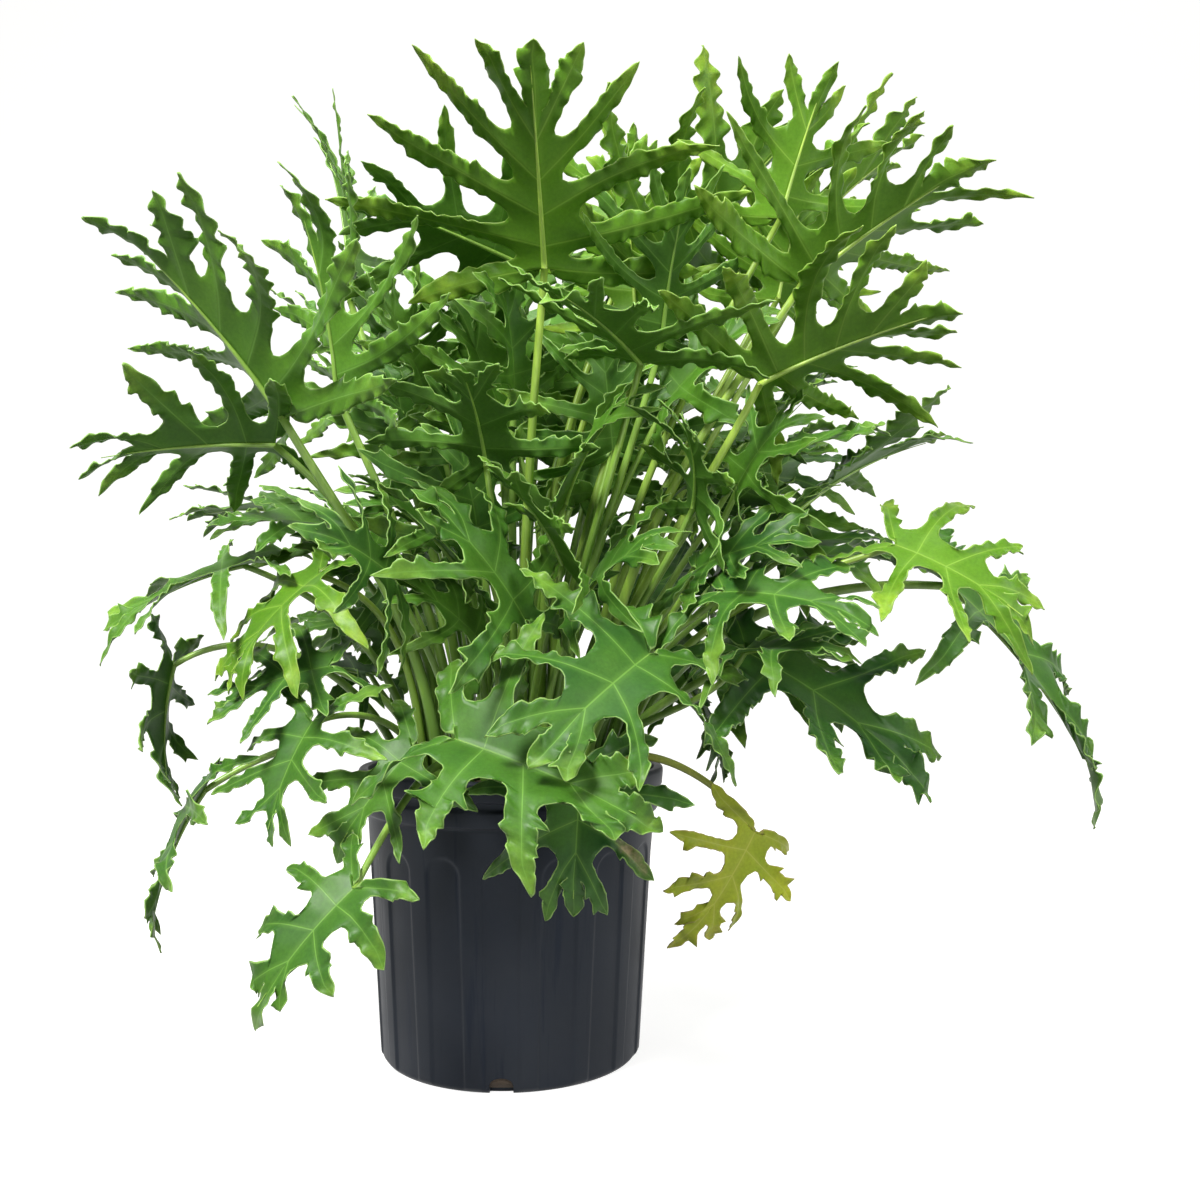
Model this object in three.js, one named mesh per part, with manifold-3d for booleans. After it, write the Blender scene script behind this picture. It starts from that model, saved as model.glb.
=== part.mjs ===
// A split-leaf philodendron in a round black nursery pot, in millimetres, +Z up.
// The origin is the middle of the pot's underside, and the photograph was taken from -Y.
// Each leaf is one solid: a petiole that stands in its own hole in the soil, and a deeply cut blade.
import * as THREE from "three";
import { mergeVertices } from "three/addons/utils/BufferGeometryUtils.js";
import Module from "manifold-3d";

const wasm = await Module();
wasm.setup();

// Driving dimensions of the pot and the soil
const potHeight = 235;
const rimRadius = 127;
const rimHeight = 16;
const bandHeight = 13; // the second band, under the groove
const bandTop = 212;
const shoulderRadius = 119; // the body's top, just under the second band
const footRadius = 107;
const wall = 2.2;
const floorThickness = 3;
const potSides = 48;
const cavitySides = 24;
const panelCount = 16;
const panelDepth = 1.6;
const panelWidth = 28;
const panelBottom = 16;
const panelTop = 176;
const drainWidth = 20;
const drainHeight = 12;
const drainDepth = 16;
const drainCount = 4;
const soilTop = 212;
const soilCrown = 10; // the soil stands this much higher in the middle
const seatGap = 0.3;

// Driving dimensions of the leaves
const bladeThickness = 1;
const petioleSides = 6;
const rootDepth = 24; // how far a petiole reaches into the soil
const rootReach = 88; // the furthest a petiole stands from the pot's axis
const rootFocus = 150; // the petioles fan out from a point this far below the soil
const stubHeight = 12; // a petiole rises straight this far above the soil's edge before it bends
const rootAttempts = 20; // how many places a petiole may try in the soil
const clearance = 0.6; // the least gap kept between two leaves
const soilClearance = 4; // the least gap kept between a blade and the soil
const viewpoint = [74, -1014, 345]; // where the photograph was taken from

const degree = Math.PI / 180;
const up = new THREE.Vector3(0, 0, 1);

// One row for each leaf that the photograph shows: where the blade joins its petiole, where the
// midrib ends, what the upper side faces, and the petiole's slope in degrees where it arrives.
const seenLeaves = [
  {
    name: "front_big", at: [-25, -185, 272], to: [105, -236, 234], face: [0, -3, 4],
    arrive: 10, breadth: 0.08, reach: 0.82, fold: 0.42, sag: 0.12, rows: 3,
  },
  {
    name: "front_mid", at: [110, -140, 330], to: [35, -215, 270], face: [1, -4, 3],
    arrive: 35, breadth: 0.078, rows: 3,
  },
  {
    name: "front_high", at: [20, -160, 355], to: [-35, -215, 440], face: [1, -3, 3],
    arrive: 50, breadth: 0.07,
  },
  {
    name: "top_left", at: [30, -70, 635], to: [25, -175, 765], face: [0, 3, 4],
    arrive: 75, breadth: 0.061, reach: 1.12, rows: 3, tone: "young",
  },
  {
    name: "top_mid", at: [130, 10, 640], to: [232, 66, 808], face: [-3, 2, 3],
    arrive: 70, breadth: 0.062, reach: 0.95, tone: "young",
  },
  {
    name: "top_right", at: [235, -60, 625], to: [355, -105, 718], face: [-2, 4, 5],
    arrive: 55, breadth: 0.057, reach: 1.1, rows: 3, tone: "young",
  },
  {
    name: "top_droop", at: [105, -110, 550], to: [50, -210, 590], face: [0, -1, 3],
    arrive: 70, breadth: 0.061, reach: 1.1, pairs: 4,
  },
  {
    name: "top_inner", at: [125, -15, 590], to: [118, -50, 715], face: [-1, 4, 1],
    arrive: 75, breadth: 0.043, reach: 1.1,
  },
  {
    name: "right_high", at: [195, -110, 535], to: [320, -160, 590], face: [-1, 3, 4],
    arrive: 60, breadth: 0.061, reach: 1.1, tone: "young",
  },
  {
    name: "left_big", at: [-160, -130, 505], to: [-255, -160, 650], face: [3, 3, 4],
    arrive: 55, breadth: 0.062, reach: 1.1,
  },
  {
    name: "left_side", at: [-175, -100, 490], to: [-305, -120, 490], face: [0, 1, 4],
    arrive: 35, breadth: 0.061, reach: 1, pairs: 4,
  },
  {
    name: "left_tall", at: [-135, -60, 535], to: [-145, -75, 690], face: [3, 2, 1],
    arrive: 65, breadth: 0.057, reach: 1.1,
  },
  {
    name: "right_far", at: [365, -20, 385], to: [505, -75, 245], face: [2, -2, 4],
    arrive: -5, breadth: 0.058, reach: 0.72, rows: 3,
  },
  {
    name: "right_lime", at: [310, -60, 415], to: [400, -110, 375], face: [0, -3, 3],
    arrive: 15, breadth: 0.066, tone: "young",
  },
  {
    name: "right_low", at: [190, -60, 330], to: [330, -120, 260], face: [0, -3, 3],
    arrive: 35, breadth: 0.07, reach: 0.95, rows: 3,
  },
  {
    name: "right_mid", at: [145, -110, 440], to: [150, -170, 500], face: [1, -3, 3],
    arrive: 60, breadth: 0.066,
  },
  {
    name: "mid_left", at: [-10, -130, 470], to: [-15, -205, 545], face: [0, -2, 3],
    arrive: 70, breadth: 0.066,
  },
  {
    name: "left_hook", at: [-265, -60, 320], to: [-282, -84, 222], face: [-3, 0, 0],
    arrive: -35, breadth: 0.066, reach: 0.8,
  },
  {
    name: "left_hang", at: [-230, -90, 225], to: [-282, -122, 132], face: [-3, -1, 2],
    arrive: -35, breadth: 0.066, reach: 0.85,
  },
  {
    name: "pot_left", at: [-90, -210, 175], to: [-158, -245, 112], face: [-2, -3, 1],
    arrive: -45, breadth: 0.076, reach: 0.7,
  },
  {
    name: "yellow", at: [195, -70, 190], to: [148, -95, 100], face: [2, -4, 0],
    arrive: -60, breadth: 0.07, reach: 0.72, back: 96, tone: "yellow",
  },
  {
    name: "rim_left", at: [-60, -150, 262], to: [-105, -190, 200], face: [-1, -3, 2],
    arrive: -10, breadth: 0.078,
  },
  {
    name: "front_under", at: [60, -150, 245], to: [55, -185, 160], face: [0, -4, 1],
    arrive: -20, breadth: 0.086,
  },
  {
    name: "left_low", at: [-210, -60, 400], to: [-315, -85, 372], face: [0, -1, 4],
    arrive: 20, breadth: 0.062,
  },
  {
    name: "left_lime", at: [-140, -100, 390], to: [-210, -145, 330], face: [-2, -2, 3],
    arrive: 15, breadth: 0.07, tone: "young",
  },
  {
    name: "left_curl", at: [-130, -110, 320], to: [-210, -140, 318], face: [0, -2, 3],
    arrive: 20, breadth: 0.07,
  },
  {
    name: "left_drop", at: [-135, -140, 280], to: [-168, -185, 215], face: [-2, -3, 1],
    arrive: -20, breadth: 0.07,
  },
  {
    name: "left_face", at: [-75, -150, 385], to: [-100, -225, 420], face: [0, -3, 2],
    arrive: 50, breadth: 0.07,
  },
  {
    name: "left_pale", at: [-120, -90, 425], to: [-215, -115, 458], face: [0, -2, 3],
    arrive: 45, breadth: 0.07,
  },
  {
    name: "mid_round", at: [65, -70, 380], to: [100, -145, 425], face: [0, -2, 3],
    arrive: 55, breadth: 0.078,
  },
  {
    name: "right_bush_a", at: [250, 60, 455], to: [365, 105, 555], face: [-2, 0, 3],
    arrive: 50, breadth: 0.062,
  },
  {
    name: "right_bush_b", at: [220, -20, 405], to: [350, -50, 430], face: [0, -1, 3],
    arrive: 35, breadth: 0.062,
  },
  {
    name: "right_bush_c", at: [165, -140, 375], to: [262, -190, 385], face: [0, -2, 3],
    arrive: 35, breadth: 0.066,
  },
  {
    name: "right_bush_d", at: [195, 60, 510], to: [280, 110, 600], face: [-2, -1, 3],
    arrive: 60, breadth: 0.062,
  },
  {
    name: "right_dark", at: [150, 10, 300], to: [205, 0, 240], face: [2, -1, 2],
    arrive: 0, breadth: 0.078,
  },
  { name: "mid_back", at: [85, 0, 500], to: [75, -40, 600], face: [0, -3, 1], arrive: 75, breadth: 0.062 },
  {
    name: "top_left_low", at: [5, -20, 655], to: [-120, -75, 700], face: [0, 1, 3],
    arrive: 75, breadth: 0.057, reach: 1.1, pairs: 4,
  },
  {
    name: "top_right_back", at: [245, 60, 690], to: [350, 112, 825], face: [-3, -1, 3],
    arrive: 65, breadth: 0.057, reach: 0.95, pairs: 4, tone: "young",
  },
  {
    name: "left_back", at: [-150, 60, 645], to: [-160, 85, 805], face: [4, 0, 1],
    arrive: 70, breadth: 0.039, reach: 1.1,
  },
  {
    name: "left_dark_a", at: [-125, 90, 510], to: [-150, 130, 600], face: [2, -2, 2],
    arrive: 65, breadth: 0.062,
  },
  {
    name: "left_dark_b", at: [-50, 80, 455], to: [-120, 110, 515], face: [1, -2, 3],
    arrive: 70, breadth: 0.062,
  },
  {
    name: "centre_a", at: [45, -60, 400], to: [20, -142, 460], face: [0, -2, 3],
    arrive: 60, breadth: 0.066,
  },
  {
    name: "centre_b", at: [120, 0, 445], to: [172, -72, 494], face: [1, -2, 3],
    arrive: 60, breadth: 0.066,
  },
  {
    name: "centre_c", at: [-40, -60, 400], to: [-98, -130, 460], face: [0, -2, 3],
    arrive: 60, breadth: 0.066,
  },
  {
    name: "right_bush_e", at: [180, -10, 400], to: [230, -70, 465], face: [0, -2, 3],
    arrive: 50, breadth: 0.062,
  },
  {
    name: "right_bush_f", at: [225, 80, 420], to: [325, 65, 450], face: [0, -2, 3],
    arrive: 40, breadth: 0.062,
  },
  {
    name: "inner_right", at: [190, -10, 470], to: [235, -60, 560], face: [-1, -2, 2],
    arrive: 65, breadth: 0.062,
  },
  {
    name: "inner_left", at: [-75, 0, 550], to: [-125, -50, 635], face: [1, -2, 2],
    arrive: 70, breadth: 0.062,
  },
  {
    name: "inner_low", at: [-15, -90, 335], to: [-60, -155, 385], face: [0, -3, 2],
    arrive: 45, breadth: 0.066,
  },
];

// The far side of the plant, which the photograph doesn't show, grows by one rule: the leaves step
// from low and wide to high, and each next one turns on by the golden section of the far half.
const hiddenCount = 9;
const farLeaves = Array.from({ length: hiddenCount }, (_, i) => {
  const turn = (15 + 150 * ((0.5 + i * 0.618) % 1)) * degree;
  const rise = i / (hiddenCount - 1);
  const reach = 265 - 130 * rise;
  const height = 285 + 330 * rise;
  const length = 120 + 45 * Math.sin(2.4 * i) ** 2;
  const slope = (-22 + 75 * rise) * degree;
  const out = new THREE.Vector3(Math.cos(turn), Math.sin(turn), 0);
  const at = out.clone().multiplyScalar(reach).addScaledVector(up, height);
  const along = out.clone().multiplyScalar(Math.cos(slope)).addScaledVector(up, Math.sin(slope));
  return {
    name: "far_" + String(i + 1).padStart(2, "0"),
    at: at.toArray(),
    to: at.addScaledVector(along, length).toArray(),
    face: [0, 0, 1],
    arrive: 10 + 60 * rise,
    breadth: 0.062,
    pairs: 3,
  };
});
const leaves = [...seenLeaves, ...farLeaves];

// A repeatable number from 0 to 1 for a leaf, a lobe and a purpose.
function chance(leaf, lobe, purpose) {
  const wave = Math.sin(leaf * 12.9898 + lobe * 78.233 + purpose * 37.719) * 43758.5453;
  return wave - Math.floor(wave);
}
const spread = (leaf, lobe, purpose) => 2 * chance(leaf, lobe, purpose) - 1;

// Where the petiole of a leaf stands: near the line from the focus below the soil to the blade,
// kept inside the pot. Each further try moves on along a spiral of golden-angle steps.
function rootOf(leaf, attempt) {
  const share = rootFocus / (rootFocus + Math.max(leaf.at[2] - soilTop, 0));
  const root = new THREE.Vector2(leaf.at[0], leaf.at[1]).multiplyScalar(share);
  root.clampLength(0, rootReach);
  const turn = attempt * 137.5 * degree;
  const step = 3.5 * Math.sqrt(attempt);
  root.x += step * Math.cos(turn);
  root.y += step * Math.sin(turn);
  return root.clampLength(0, rootReach);
}

// The petiole's line: a straight stub in the soil, then one cubic curve to the blade at `end`.
function petiolePoints(leaf, root, end) {
  const start = new THREE.Vector3(root.x, root.y, soilTop + stubHeight);
  const out = new THREE.Vector3(end.x - start.x, end.y - start.y, 0);
  const run = out.length();
  out.normalize();
  const reach = start.distanceTo(end);
  const lean = (0.3 * run) / (Math.abs(end.z - start.z) + 120);
  const leave = out.clone().multiplyScalar(lean).add(up).normalize();
  const arrive = out.clone().multiplyScalar(Math.cos(leaf.arrive * degree))
    .addScaledVector(up, Math.sin(leaf.arrive * degree));
  const curve = new THREE.CubicBezierCurve3(
    start,
    start.clone().addScaledVector(leave, 0.4 * reach),
    end.clone().addScaledVector(arrive, -0.4 * reach),
    end,
  );
  // the steps get shorter towards the blade
  const shares = Array.from({ length: leaf.steps + 1 }, (_, i) => 1 - (1 - i / leaf.steps) ** 1.4);
  const foot = new THREE.Vector3(root.x, root.y, soilTop - rootDepth);
  return [foot, ...shares.map((share) => curve.getPoint(share))];
}

// The lobes of a blade: on each side from the one that points back to the one nearest the tip, and
// the tip's own. Origins are along the midrib, lengths and half widths are shares of its length,
// and angles are measured from its direction. A lobe bends in the blade's plane, lifts its tip out
// of that plane and twists about its own length.
function lobesOf(index, leaf) {
  const { pairs } = leaf;
  const lobes = { left: [], right: [] };
  for (const side of ["left", "right"])
    for (let k = 0; k < pairs; k++) {
      const f = k / (pairs - 1);
      const id = k + (side === "left" ? 0 : 20);
      const usual = leaf.reach * (0.68 + 0.17 * Math.sin(Math.PI * f ** 0.8) - 0.22 * f * f);
      lobes[side].push({
        origin: 0.6 * f ** 1.25,
        angle: (leaf.back - (leaf.back - 33) * f ** 0.9 + 3 * spread(index, id, 1)) * degree,
        length: usual * (1 + 0.14 * spread(index, id, 2)),
        width: leaf.breadth * (1 - 0.15 * f) * (1 + 0.15 * spread(index, id, 3)),
        bend: 0.2 * spread(index, id, 4) + 0.1,
        lift: 0.3 * spread(index, id, 5) - 0.12,
        twist: 0.7 * spread(index, id, 6),
      });
    }
  lobes.tip = {
    origin: 0.64,
    angle: 0.12 * spread(index, 40, 1),
    length: 0.4,
    width: leaf.breadth,
    bend: 0.2 * spread(index, 40, 4),
    lift: -0.15 + 0.2 * spread(index, 40, 5),
    twist: 0.7 * spread(index, 40, 6),
  };
  return lobes;
}

// Half width of a lobe at the share q of the way from its notch to its tip, over its full half width.
const lobeProfile = (q) => (1 - q ** 3) ** 0.8 * (0.85 + 0.4 * q);

// The blade's middle surface before it sags: u along the midrib, v to its left and w up, as
// shares of the midrib's length, with its triangles and its outline's edges.
function bladeSheet(index, leaf) {
  const lobes = lobesOf(index, leaf);
  const points = [];
  const triangles = [];
  const rim = [];
  const corners = [];
  const place = (u, v, w) => points.push([u, v, w]) - 1;
  const collar = leaf.collar / leaf.size;
  const origins = [...lobes.left.map((lobe) => lobe.origin), lobes.tip.origin];
  const middles = origins.map((origin, k) => (k === 0 ? 0 : (origin + origins[k - 1]) / 2));
  const spine = middles.map((u) => place(u, 0, 0));

  // The notch between two lobes lies on the line halfway between their directions. The first one
  // is the corner beside the petiole.
  function notch(side, k) {
    if (k === 0) return [-0.3 * collar, side * collar];
    const own = side > 0 ? lobes.left : lobes.right;
    const ahead = k === own.length ? side * lobes.tip.angle : own[k].angle;
    const angle = (own[k - 1].angle + ahead) / 2;
    const far = leaf.notch * (1 + 0.25 * spread(index, k + 20 * side, 7));
    return [middles[k] + far * Math.cos(angle), side * far * Math.sin(angle)];
  }

  // One lobe: from its stretch of the midrib, past its two notches, to its tip. Its edge A lies
  // clockwise of it seen from above, and its edge B the other way.
  function addLobe(lobe, side, baseA, baseB, notchA, notchB) {
    const angle = side * lobe.angle;
    const along = [Math.cos(angle), Math.sin(angle)];
    const across = [-along[1], along[0]];
    const flat = (s, t) => {
      const curl = -side * lobe.bend * s * s * lobe.length * 0.5;
      return [
        lobe.origin + along[0] * s * lobe.length + across[0] * (t + curl),
        along[1] * s * lobe.length + across[1] * (t + curl),
      ];
    };
    const share = (p) => ((p[0] - lobe.origin) * along[0] + p[1] * along[1]) / lobe.length;
    const startA = share(notchA.flat);
    const startB = share(notchB.flat);
    let a = notchA.id;
    let b = notchB.id;
    if (baseA !== baseB) triangles.push([baseB, baseA, a]);
    triangles.push([baseB, a, b]);
    for (let j = 1; j < leaf.rows; j++) {
      const q = (j / leaf.rows) ** 1.1;
      const half = lobe.width * lobeProfile(q);
      const swing = lobe.twist * Math.sin(Math.PI * Math.min(q * 1.3, 1));
      const rise = lobe.lift * lobe.length * q * q;
      const edge = (start, sign) => {
        const s = start + (1 - start) * q;
        const [u, v] = flat(s, sign * half * Math.cos(swing));
        return place(u, v, rise + sign * half * Math.sin(swing));
      };
      const nextA = edge(startA, -1);
      const nextB = edge(startB, 1);
      triangles.push([b, a, nextA], [b, nextA, nextB]);
      rim.push([a, nextA], [nextB, b]);
      a = nextA;
      b = nextB;
    }
    const [u, v] = flat(1, 0);
    const tip = place(u, v, lobe.lift * lobe.length);
    triangles.push([b, a, tip]);
    rim.push([a, tip], [tip, b]);
  }

  for (const side of [1, -1]) {
    const own = side > 0 ? lobes.left : lobes.right;
    const notches = spine.map((_, k) => {
      const flat = notch(side, k);
      return { flat, id: place(flat[0], flat[1], 0) };
    });
    own.forEach((lobe, k) => {
      if (side > 0) addLobe(lobe, 1, spine[k + 1], spine[k], notches[k + 1], notches[k]);
      else addLobe(lobe, -1, spine[k], spine[k + 1], notches[k], notches[k + 1]);
    });
    corners.push(notches[0].id);
    if (side > 0) lobes.tip.notchB = notches.at(-1);
    else lobes.tip.notchA = notches.at(-1);
  }
  addLobe(lobes.tip, 1, spine.at(-1), spine.at(-1), lobes.tip.notchA, lobes.tip.notchB);
  // the petiole joins at three points of the outline: left, middle and right
  return { points, triangles, rim, mouth: [corners[0], spine[0], corners[1]] };
}

// The whole blade's gentle shape: its halves rise from the midrib and everything sags outwards.
function shapeBlade(leaf, [u, v, w]) {
  return w + leaf.fold * Math.abs(v) - leaf.sag * u * u - leaf.sag * 1.2 * v * v;
}

// The blade's sheet set in the plant after a small move: `top` and `bottom` are the two faces'
// points, `at` is where the petiole joins, and `left` is the blade's own left.
function placeSheet(index, leaf, move) {
  const sheet = bladeSheet(index, leaf);
  const joint = new THREE.Vector3(...leaf.at);
  const sight = joint.clone().sub(new THREE.Vector3(...viewpoint)).normalize();
  const at = joint.clone().addScaledVector(sight, move.slide);
  const along = new THREE.Vector3(...leaf.to).sub(joint).normalize();
  const normal = new THREE.Vector3(...leaf.face);
  normal.addScaledVector(along, -normal.dot(along)).normalize();
  const left = normal.clone().cross(along);
  const spin = new THREE.Quaternion()
    .setFromAxisAngle(normal, move.yaw * degree)
    .multiply(new THREE.Quaternion().setFromAxisAngle(left, move.pitch * degree))
    .multiply(new THREE.Quaternion().setFromAxisAngle(along, move.roll * degree));
  const turnedBasis = [along, left, normal].map((axis) => axis.clone().applyQuaternion(spin));
  const length = leaf.size * move.scale;
  const middle = sheet.points.map((point) => {
    const shaped = [point[0], point[1], shapeBlade(leaf, point)];
    return shaped.reduce((sum, value, i) => sum.addScaledVector(turnedBasis[i], value * length), at.clone());
  });
  const normals = middle.map(() => new THREE.Vector3());
  for (const [a, b, c] of sheet.triangles) {
    const face = middle[b].clone().sub(middle[a]).cross(middle[c].clone().sub(middle[a]));
    for (const id of [a, b, c]) normals[id].add(face);
  }
  normals.forEach((each) => each.setLength(bladeThickness / 2));
  const top = middle.map((point, i) => point.clone().add(normals[i]));
  const bottom = middle.map((point, i) => point.clone().sub(normals[i]));
  return { ...sheet, at, left: turnedBasis[1], top, bottom };
}

// A petiole thins evenly from its foot at share 0 to its blade at share 1.
const petioleRadius = (leaf, share) => leaf.petiole * (1.2 - 0.5 * share);

// The rings of the petiole's corners, from its blade back to its foot in the soil.
function petioleRings(leaf, root, sheet) {
  const points = petiolePoints(leaf, root, sheet.at);
  const last = points.length - 1;
  const side = sheet.left.clone();
  const rings = [];
  for (let i = last; i >= 0; i--) {
    const ahead = points[Math.min(i + 1, last)].clone().sub(points[Math.max(i - 1, 0)]).normalize();
    side.addScaledVector(ahead, -side.dot(ahead)).normalize();
    const other = ahead.clone().cross(side);
    const radius = petioleRadius(leaf, i / last);
    rings.push(Array.from({ length: petioleSides }, (_, k) => {
      const angle = ((k + 0.5) * 2 * Math.PI) / petioleSides;
      return points[i].clone().addScaledVector(side, radius * Math.cos(angle))
        .addScaledVector(other, radius * Math.sin(angle));
    }));
  }
  return rings;
}

// The faces between two rings of point numbers, the nearer to the blade first.
function joinRings(faces, ring, next) {
  for (let k = 0; k < petioleSides; k++) {
    const n = (k + 1) % petioleSides;
    faces.push(next[k], next[n], ring[n], next[k], ring[n], ring[k]);
  }
}

// The petiole alone, as a closed solid.
function petioleSolid(rings) {
  const faces = [];
  const numbered = rings.map((ring, i) => ring.map((_, k) => i * petioleSides + k));
  const end = numbered.at(-1);
  for (let i = 1; i < rings.length; i++) joinRings(faces, numbered[i - 1], numbered[i]);
  for (let k = 1; k < petioleSides - 1; k++)
    faces.push(numbered[0][0], numbered[0][k], numbered[0][k + 1], end[0], end[k + 1], end[k]);
  return solidOf({ points: rings.flat(), faces });
}

// The points and faces of the closed blade, with its petiole where `rings` are given. The petiole
// runs into the mouth: six points of the blade's edge, three on each face.
function leafFaces(sheet, rings) {
  const points = [...sheet.top, ...sheet.bottom];
  const below = sheet.top.length;
  const [left, centre, right] = sheet.mouth;
  const faces = [];
  for (const [a, b, c] of sheet.triangles) faces.push(a, b, c, a + below, c + below, b + below);
  const edges = rings ? sheet.rim : [...sheet.rim, [left, centre], [centre, right]];
  for (const [a, b] of edges) faces.push(b, a, a + below, b, a + below, b + below);
  if (rings) {
    let ring = [left, centre, right, right + below, centre + below, left + below];
    for (const corners of rings.slice(1)) {
      const next = corners.map((corner) => points.push(corner) - 1);
      joinRings(faces, ring, next);
      ring = next;
    }
    for (let k = 1; k < petioleSides - 1; k++) faces.push(ring[0], ring[k + 1], ring[k]);
  }
  return { points, faces };
}

// Whether an edge of one triangle passes through the other triangle.
function edgePierces(points, edges, triangle) {
  const [a, b, c] = triangle.map((id) => points[id]);
  const sideB = b.clone().sub(a);
  const sideC = c.clone().sub(a);
  return edges.some((id, k) => {
    const start = points[id];
    const run = points[edges[(k + 1) % 3]].clone().sub(start);
    const cross = run.clone().cross(sideC);
    const scale = sideB.dot(cross);
    if (Math.abs(scale) < 1e-9) return false;
    const offset = start.clone().sub(a);
    const u = offset.dot(cross) / scale;
    if (u < 0 || u > 1) return false;
    offset.cross(sideB);
    const v = run.dot(offset) / scale;
    const share = sideC.dot(offset) / scale;
    return v >= 0 && u + v <= 1 && share >= 0 && share <= 1;
  });
}

// Whether two faces of one leaf that share no corner cross each other.
function crossesItself({ points, faces }) {
  const triangles = [];
  for (let i = 0; i < faces.length; i += 3) {
    const ids = faces.slice(i, i + 3);
    triangles.push({ ids, box: new THREE.Box3().setFromPoints(ids.map((id) => points[id])) });
  }
  return triangles.some((one, i) => triangles.slice(i + 1).some((other) =>
    one.box.intersectsBox(other.box) && !one.ids.some((id) => other.ids.includes(id)) &&
    (edgePierces(points, one.ids, other.ids) || edgePierces(points, other.ids, one.ids))));
}

// Three ways between points and faces, a solid and a geometry
function solidOf({ points, faces }) {
  return new wasm.Manifold(new wasm.Mesh({
    numProp: 3,
    vertProperties: new Float32Array(points.flatMap((point) => point.toArray())),
    triVerts: new Uint32Array(faces),
  }));
}

function geometryOf(solid) {
  const mesh = solid.getMesh();
  const positions = new Float32Array(mesh.numVert * 3);
  for (let i = 0; i < mesh.numVert; i++)
    positions.set(mesh.vertProperties.subarray(i * mesh.numProp, i * mesh.numProp + 3), i * 3);
  return new THREE.BufferGeometry()
    .setAttribute("position", new THREE.BufferAttribute(positions, 3))
    .setIndex(new THREE.BufferAttribute(mesh.triVerts, 1));
}

function solidFrom(geometry) {
  const bare = geometry.clone();
  bare.deleteAttribute("normal");
  bare.deleteAttribute("uv");
  const merged = mergeVertices(bare, 1e-3);
  const { position } = merged.attributes;
  const points = Array.from({ length: position.count }, (_, i) =>
    new THREE.Vector3().fromBufferAttribute(position, i));
  return solidOf({ points, faces: merged.index.array });
}

// A closed outline of [radius, height] points, turned about the pot's axis.
function turned(outline, sides) {
  return solidFrom(
    new THREE.LatheGeometry(outline.map(([r, z]) => new THREE.Vector2(r, z)), sides).rotateX(Math.PI / 2),
  );
}

// The body's outside radius at a height between the foot and the second band.
const bodyRadius = (z) => footRadius + ((shoulderRadius - footRadius) * z) / (bandTop - bandHeight);

// The wall's inside radius there, less the gap to what fills it.
const insideRadius = (z, inset) => bodyRadius(z) - wall - inset;

// The shallow arch-topped panels round the body: one cutter, which leans with the tapered wall.
function panelCutter() {
  const half = panelWidth / 2;
  const arch = new THREE.Shape();
  arch.moveTo(-half, panelBottom);
  arch.lineTo(half, panelBottom);
  arch.lineTo(half, panelTop - half);
  arch.absarc(0, panelTop - half, half, 0, Math.PI);
  const depth = 10;
  const cutter = new THREE.ExtrudeGeometry(arch, { depth, bevelEnabled: false, curveSegments: 4 });
  cutter.rotateX(Math.PI / 2); // the outline now stands in X and Z, and its depth runs to -Y
  const lean = Math.atan((shoulderRadius - footRadius) / (bandTop - bandHeight));
  cutter.rotateX(lean);
  cutter.translate(0, -(footRadius - panelDepth), 0);
  return cutter;
}

// The pot: a turned wall with a rim, a groove and a second band, with its panels and drains cut.
function potSolid() {
  const rimBottom = potHeight - rimHeight;
  const shoulder = bandTop - bandHeight;
  let solid = turned([
    [0, 0],
    [footRadius - 4, 0],
    [footRadius, 4],
    [shoulderRadius, shoulder],
    [shoulderRadius + 3, shoulder + 1],
    [shoulderRadius + 4.5, bandTop],
    [shoulderRadius + 2.5, bandTop + 1.5],
    [shoulderRadius + 3, rimBottom],
    [rimRadius - 1, rimBottom + 1],
    [rimRadius, potHeight - 2],
    [rimRadius - 1.5, potHeight],
    [0, potHeight],
  ], potSides);
  solid = solid.subtract(cavity(0, potHeight + 1));
  const panel = solidFrom(panelCutter());
  const notch = new THREE.BoxGeometry(drainWidth, drainDepth, 2 * drainHeight);
  const drain = solidFrom(notch.translate(0, -footRadius, 0));
  for (const [cutter, count] of [[panel, panelCount], [drain, drainCount]])
    for (let i = 0; i < count; i++) solid = solid.subtract(cutter.rotate([0, 0, (i * 360) / count]));
  return solid;
}

// The space inside the pot up to a height, or, with a gap to the wall, the crowned soil that fills it.
function cavity(inset, top) {
  const floor = floorThickness + inset;
  return turned([
    [0, floor],
    [insideRadius(floor, inset) - 3, floor],
    [insideRadius(floor + 4, inset), floor + 4],
    [insideRadius(top, inset), top],
    [0, top + (inset ? soilCrown : 0)],
  ], cavitySides);
}

// The soil: it fills the pot to below the rim, with a plain blind hole for each petiole.
function soilSolid(grown) {
  const bottom = soilTop - rootDepth - seatGap;
  const top = soilTop + 2 * soilCrown;
  const holes = grown.map(({ leaf, root }) => {
    const radius = (petioleRadius(leaf, 0) + seatGap) / Math.cos(Math.PI / petioleSides);
    const hole = new THREE.CylinderGeometry(radius, radius, top - bottom, petioleSides);
    hole.rotateX(Math.PI / 2).translate(root.x, root.y, (top + bottom) / 2);
    return solidFrom(hole);
  });
  return cavity(seatGap, soilTop).subtract(wasm.Manifold.union(holes));
}

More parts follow.
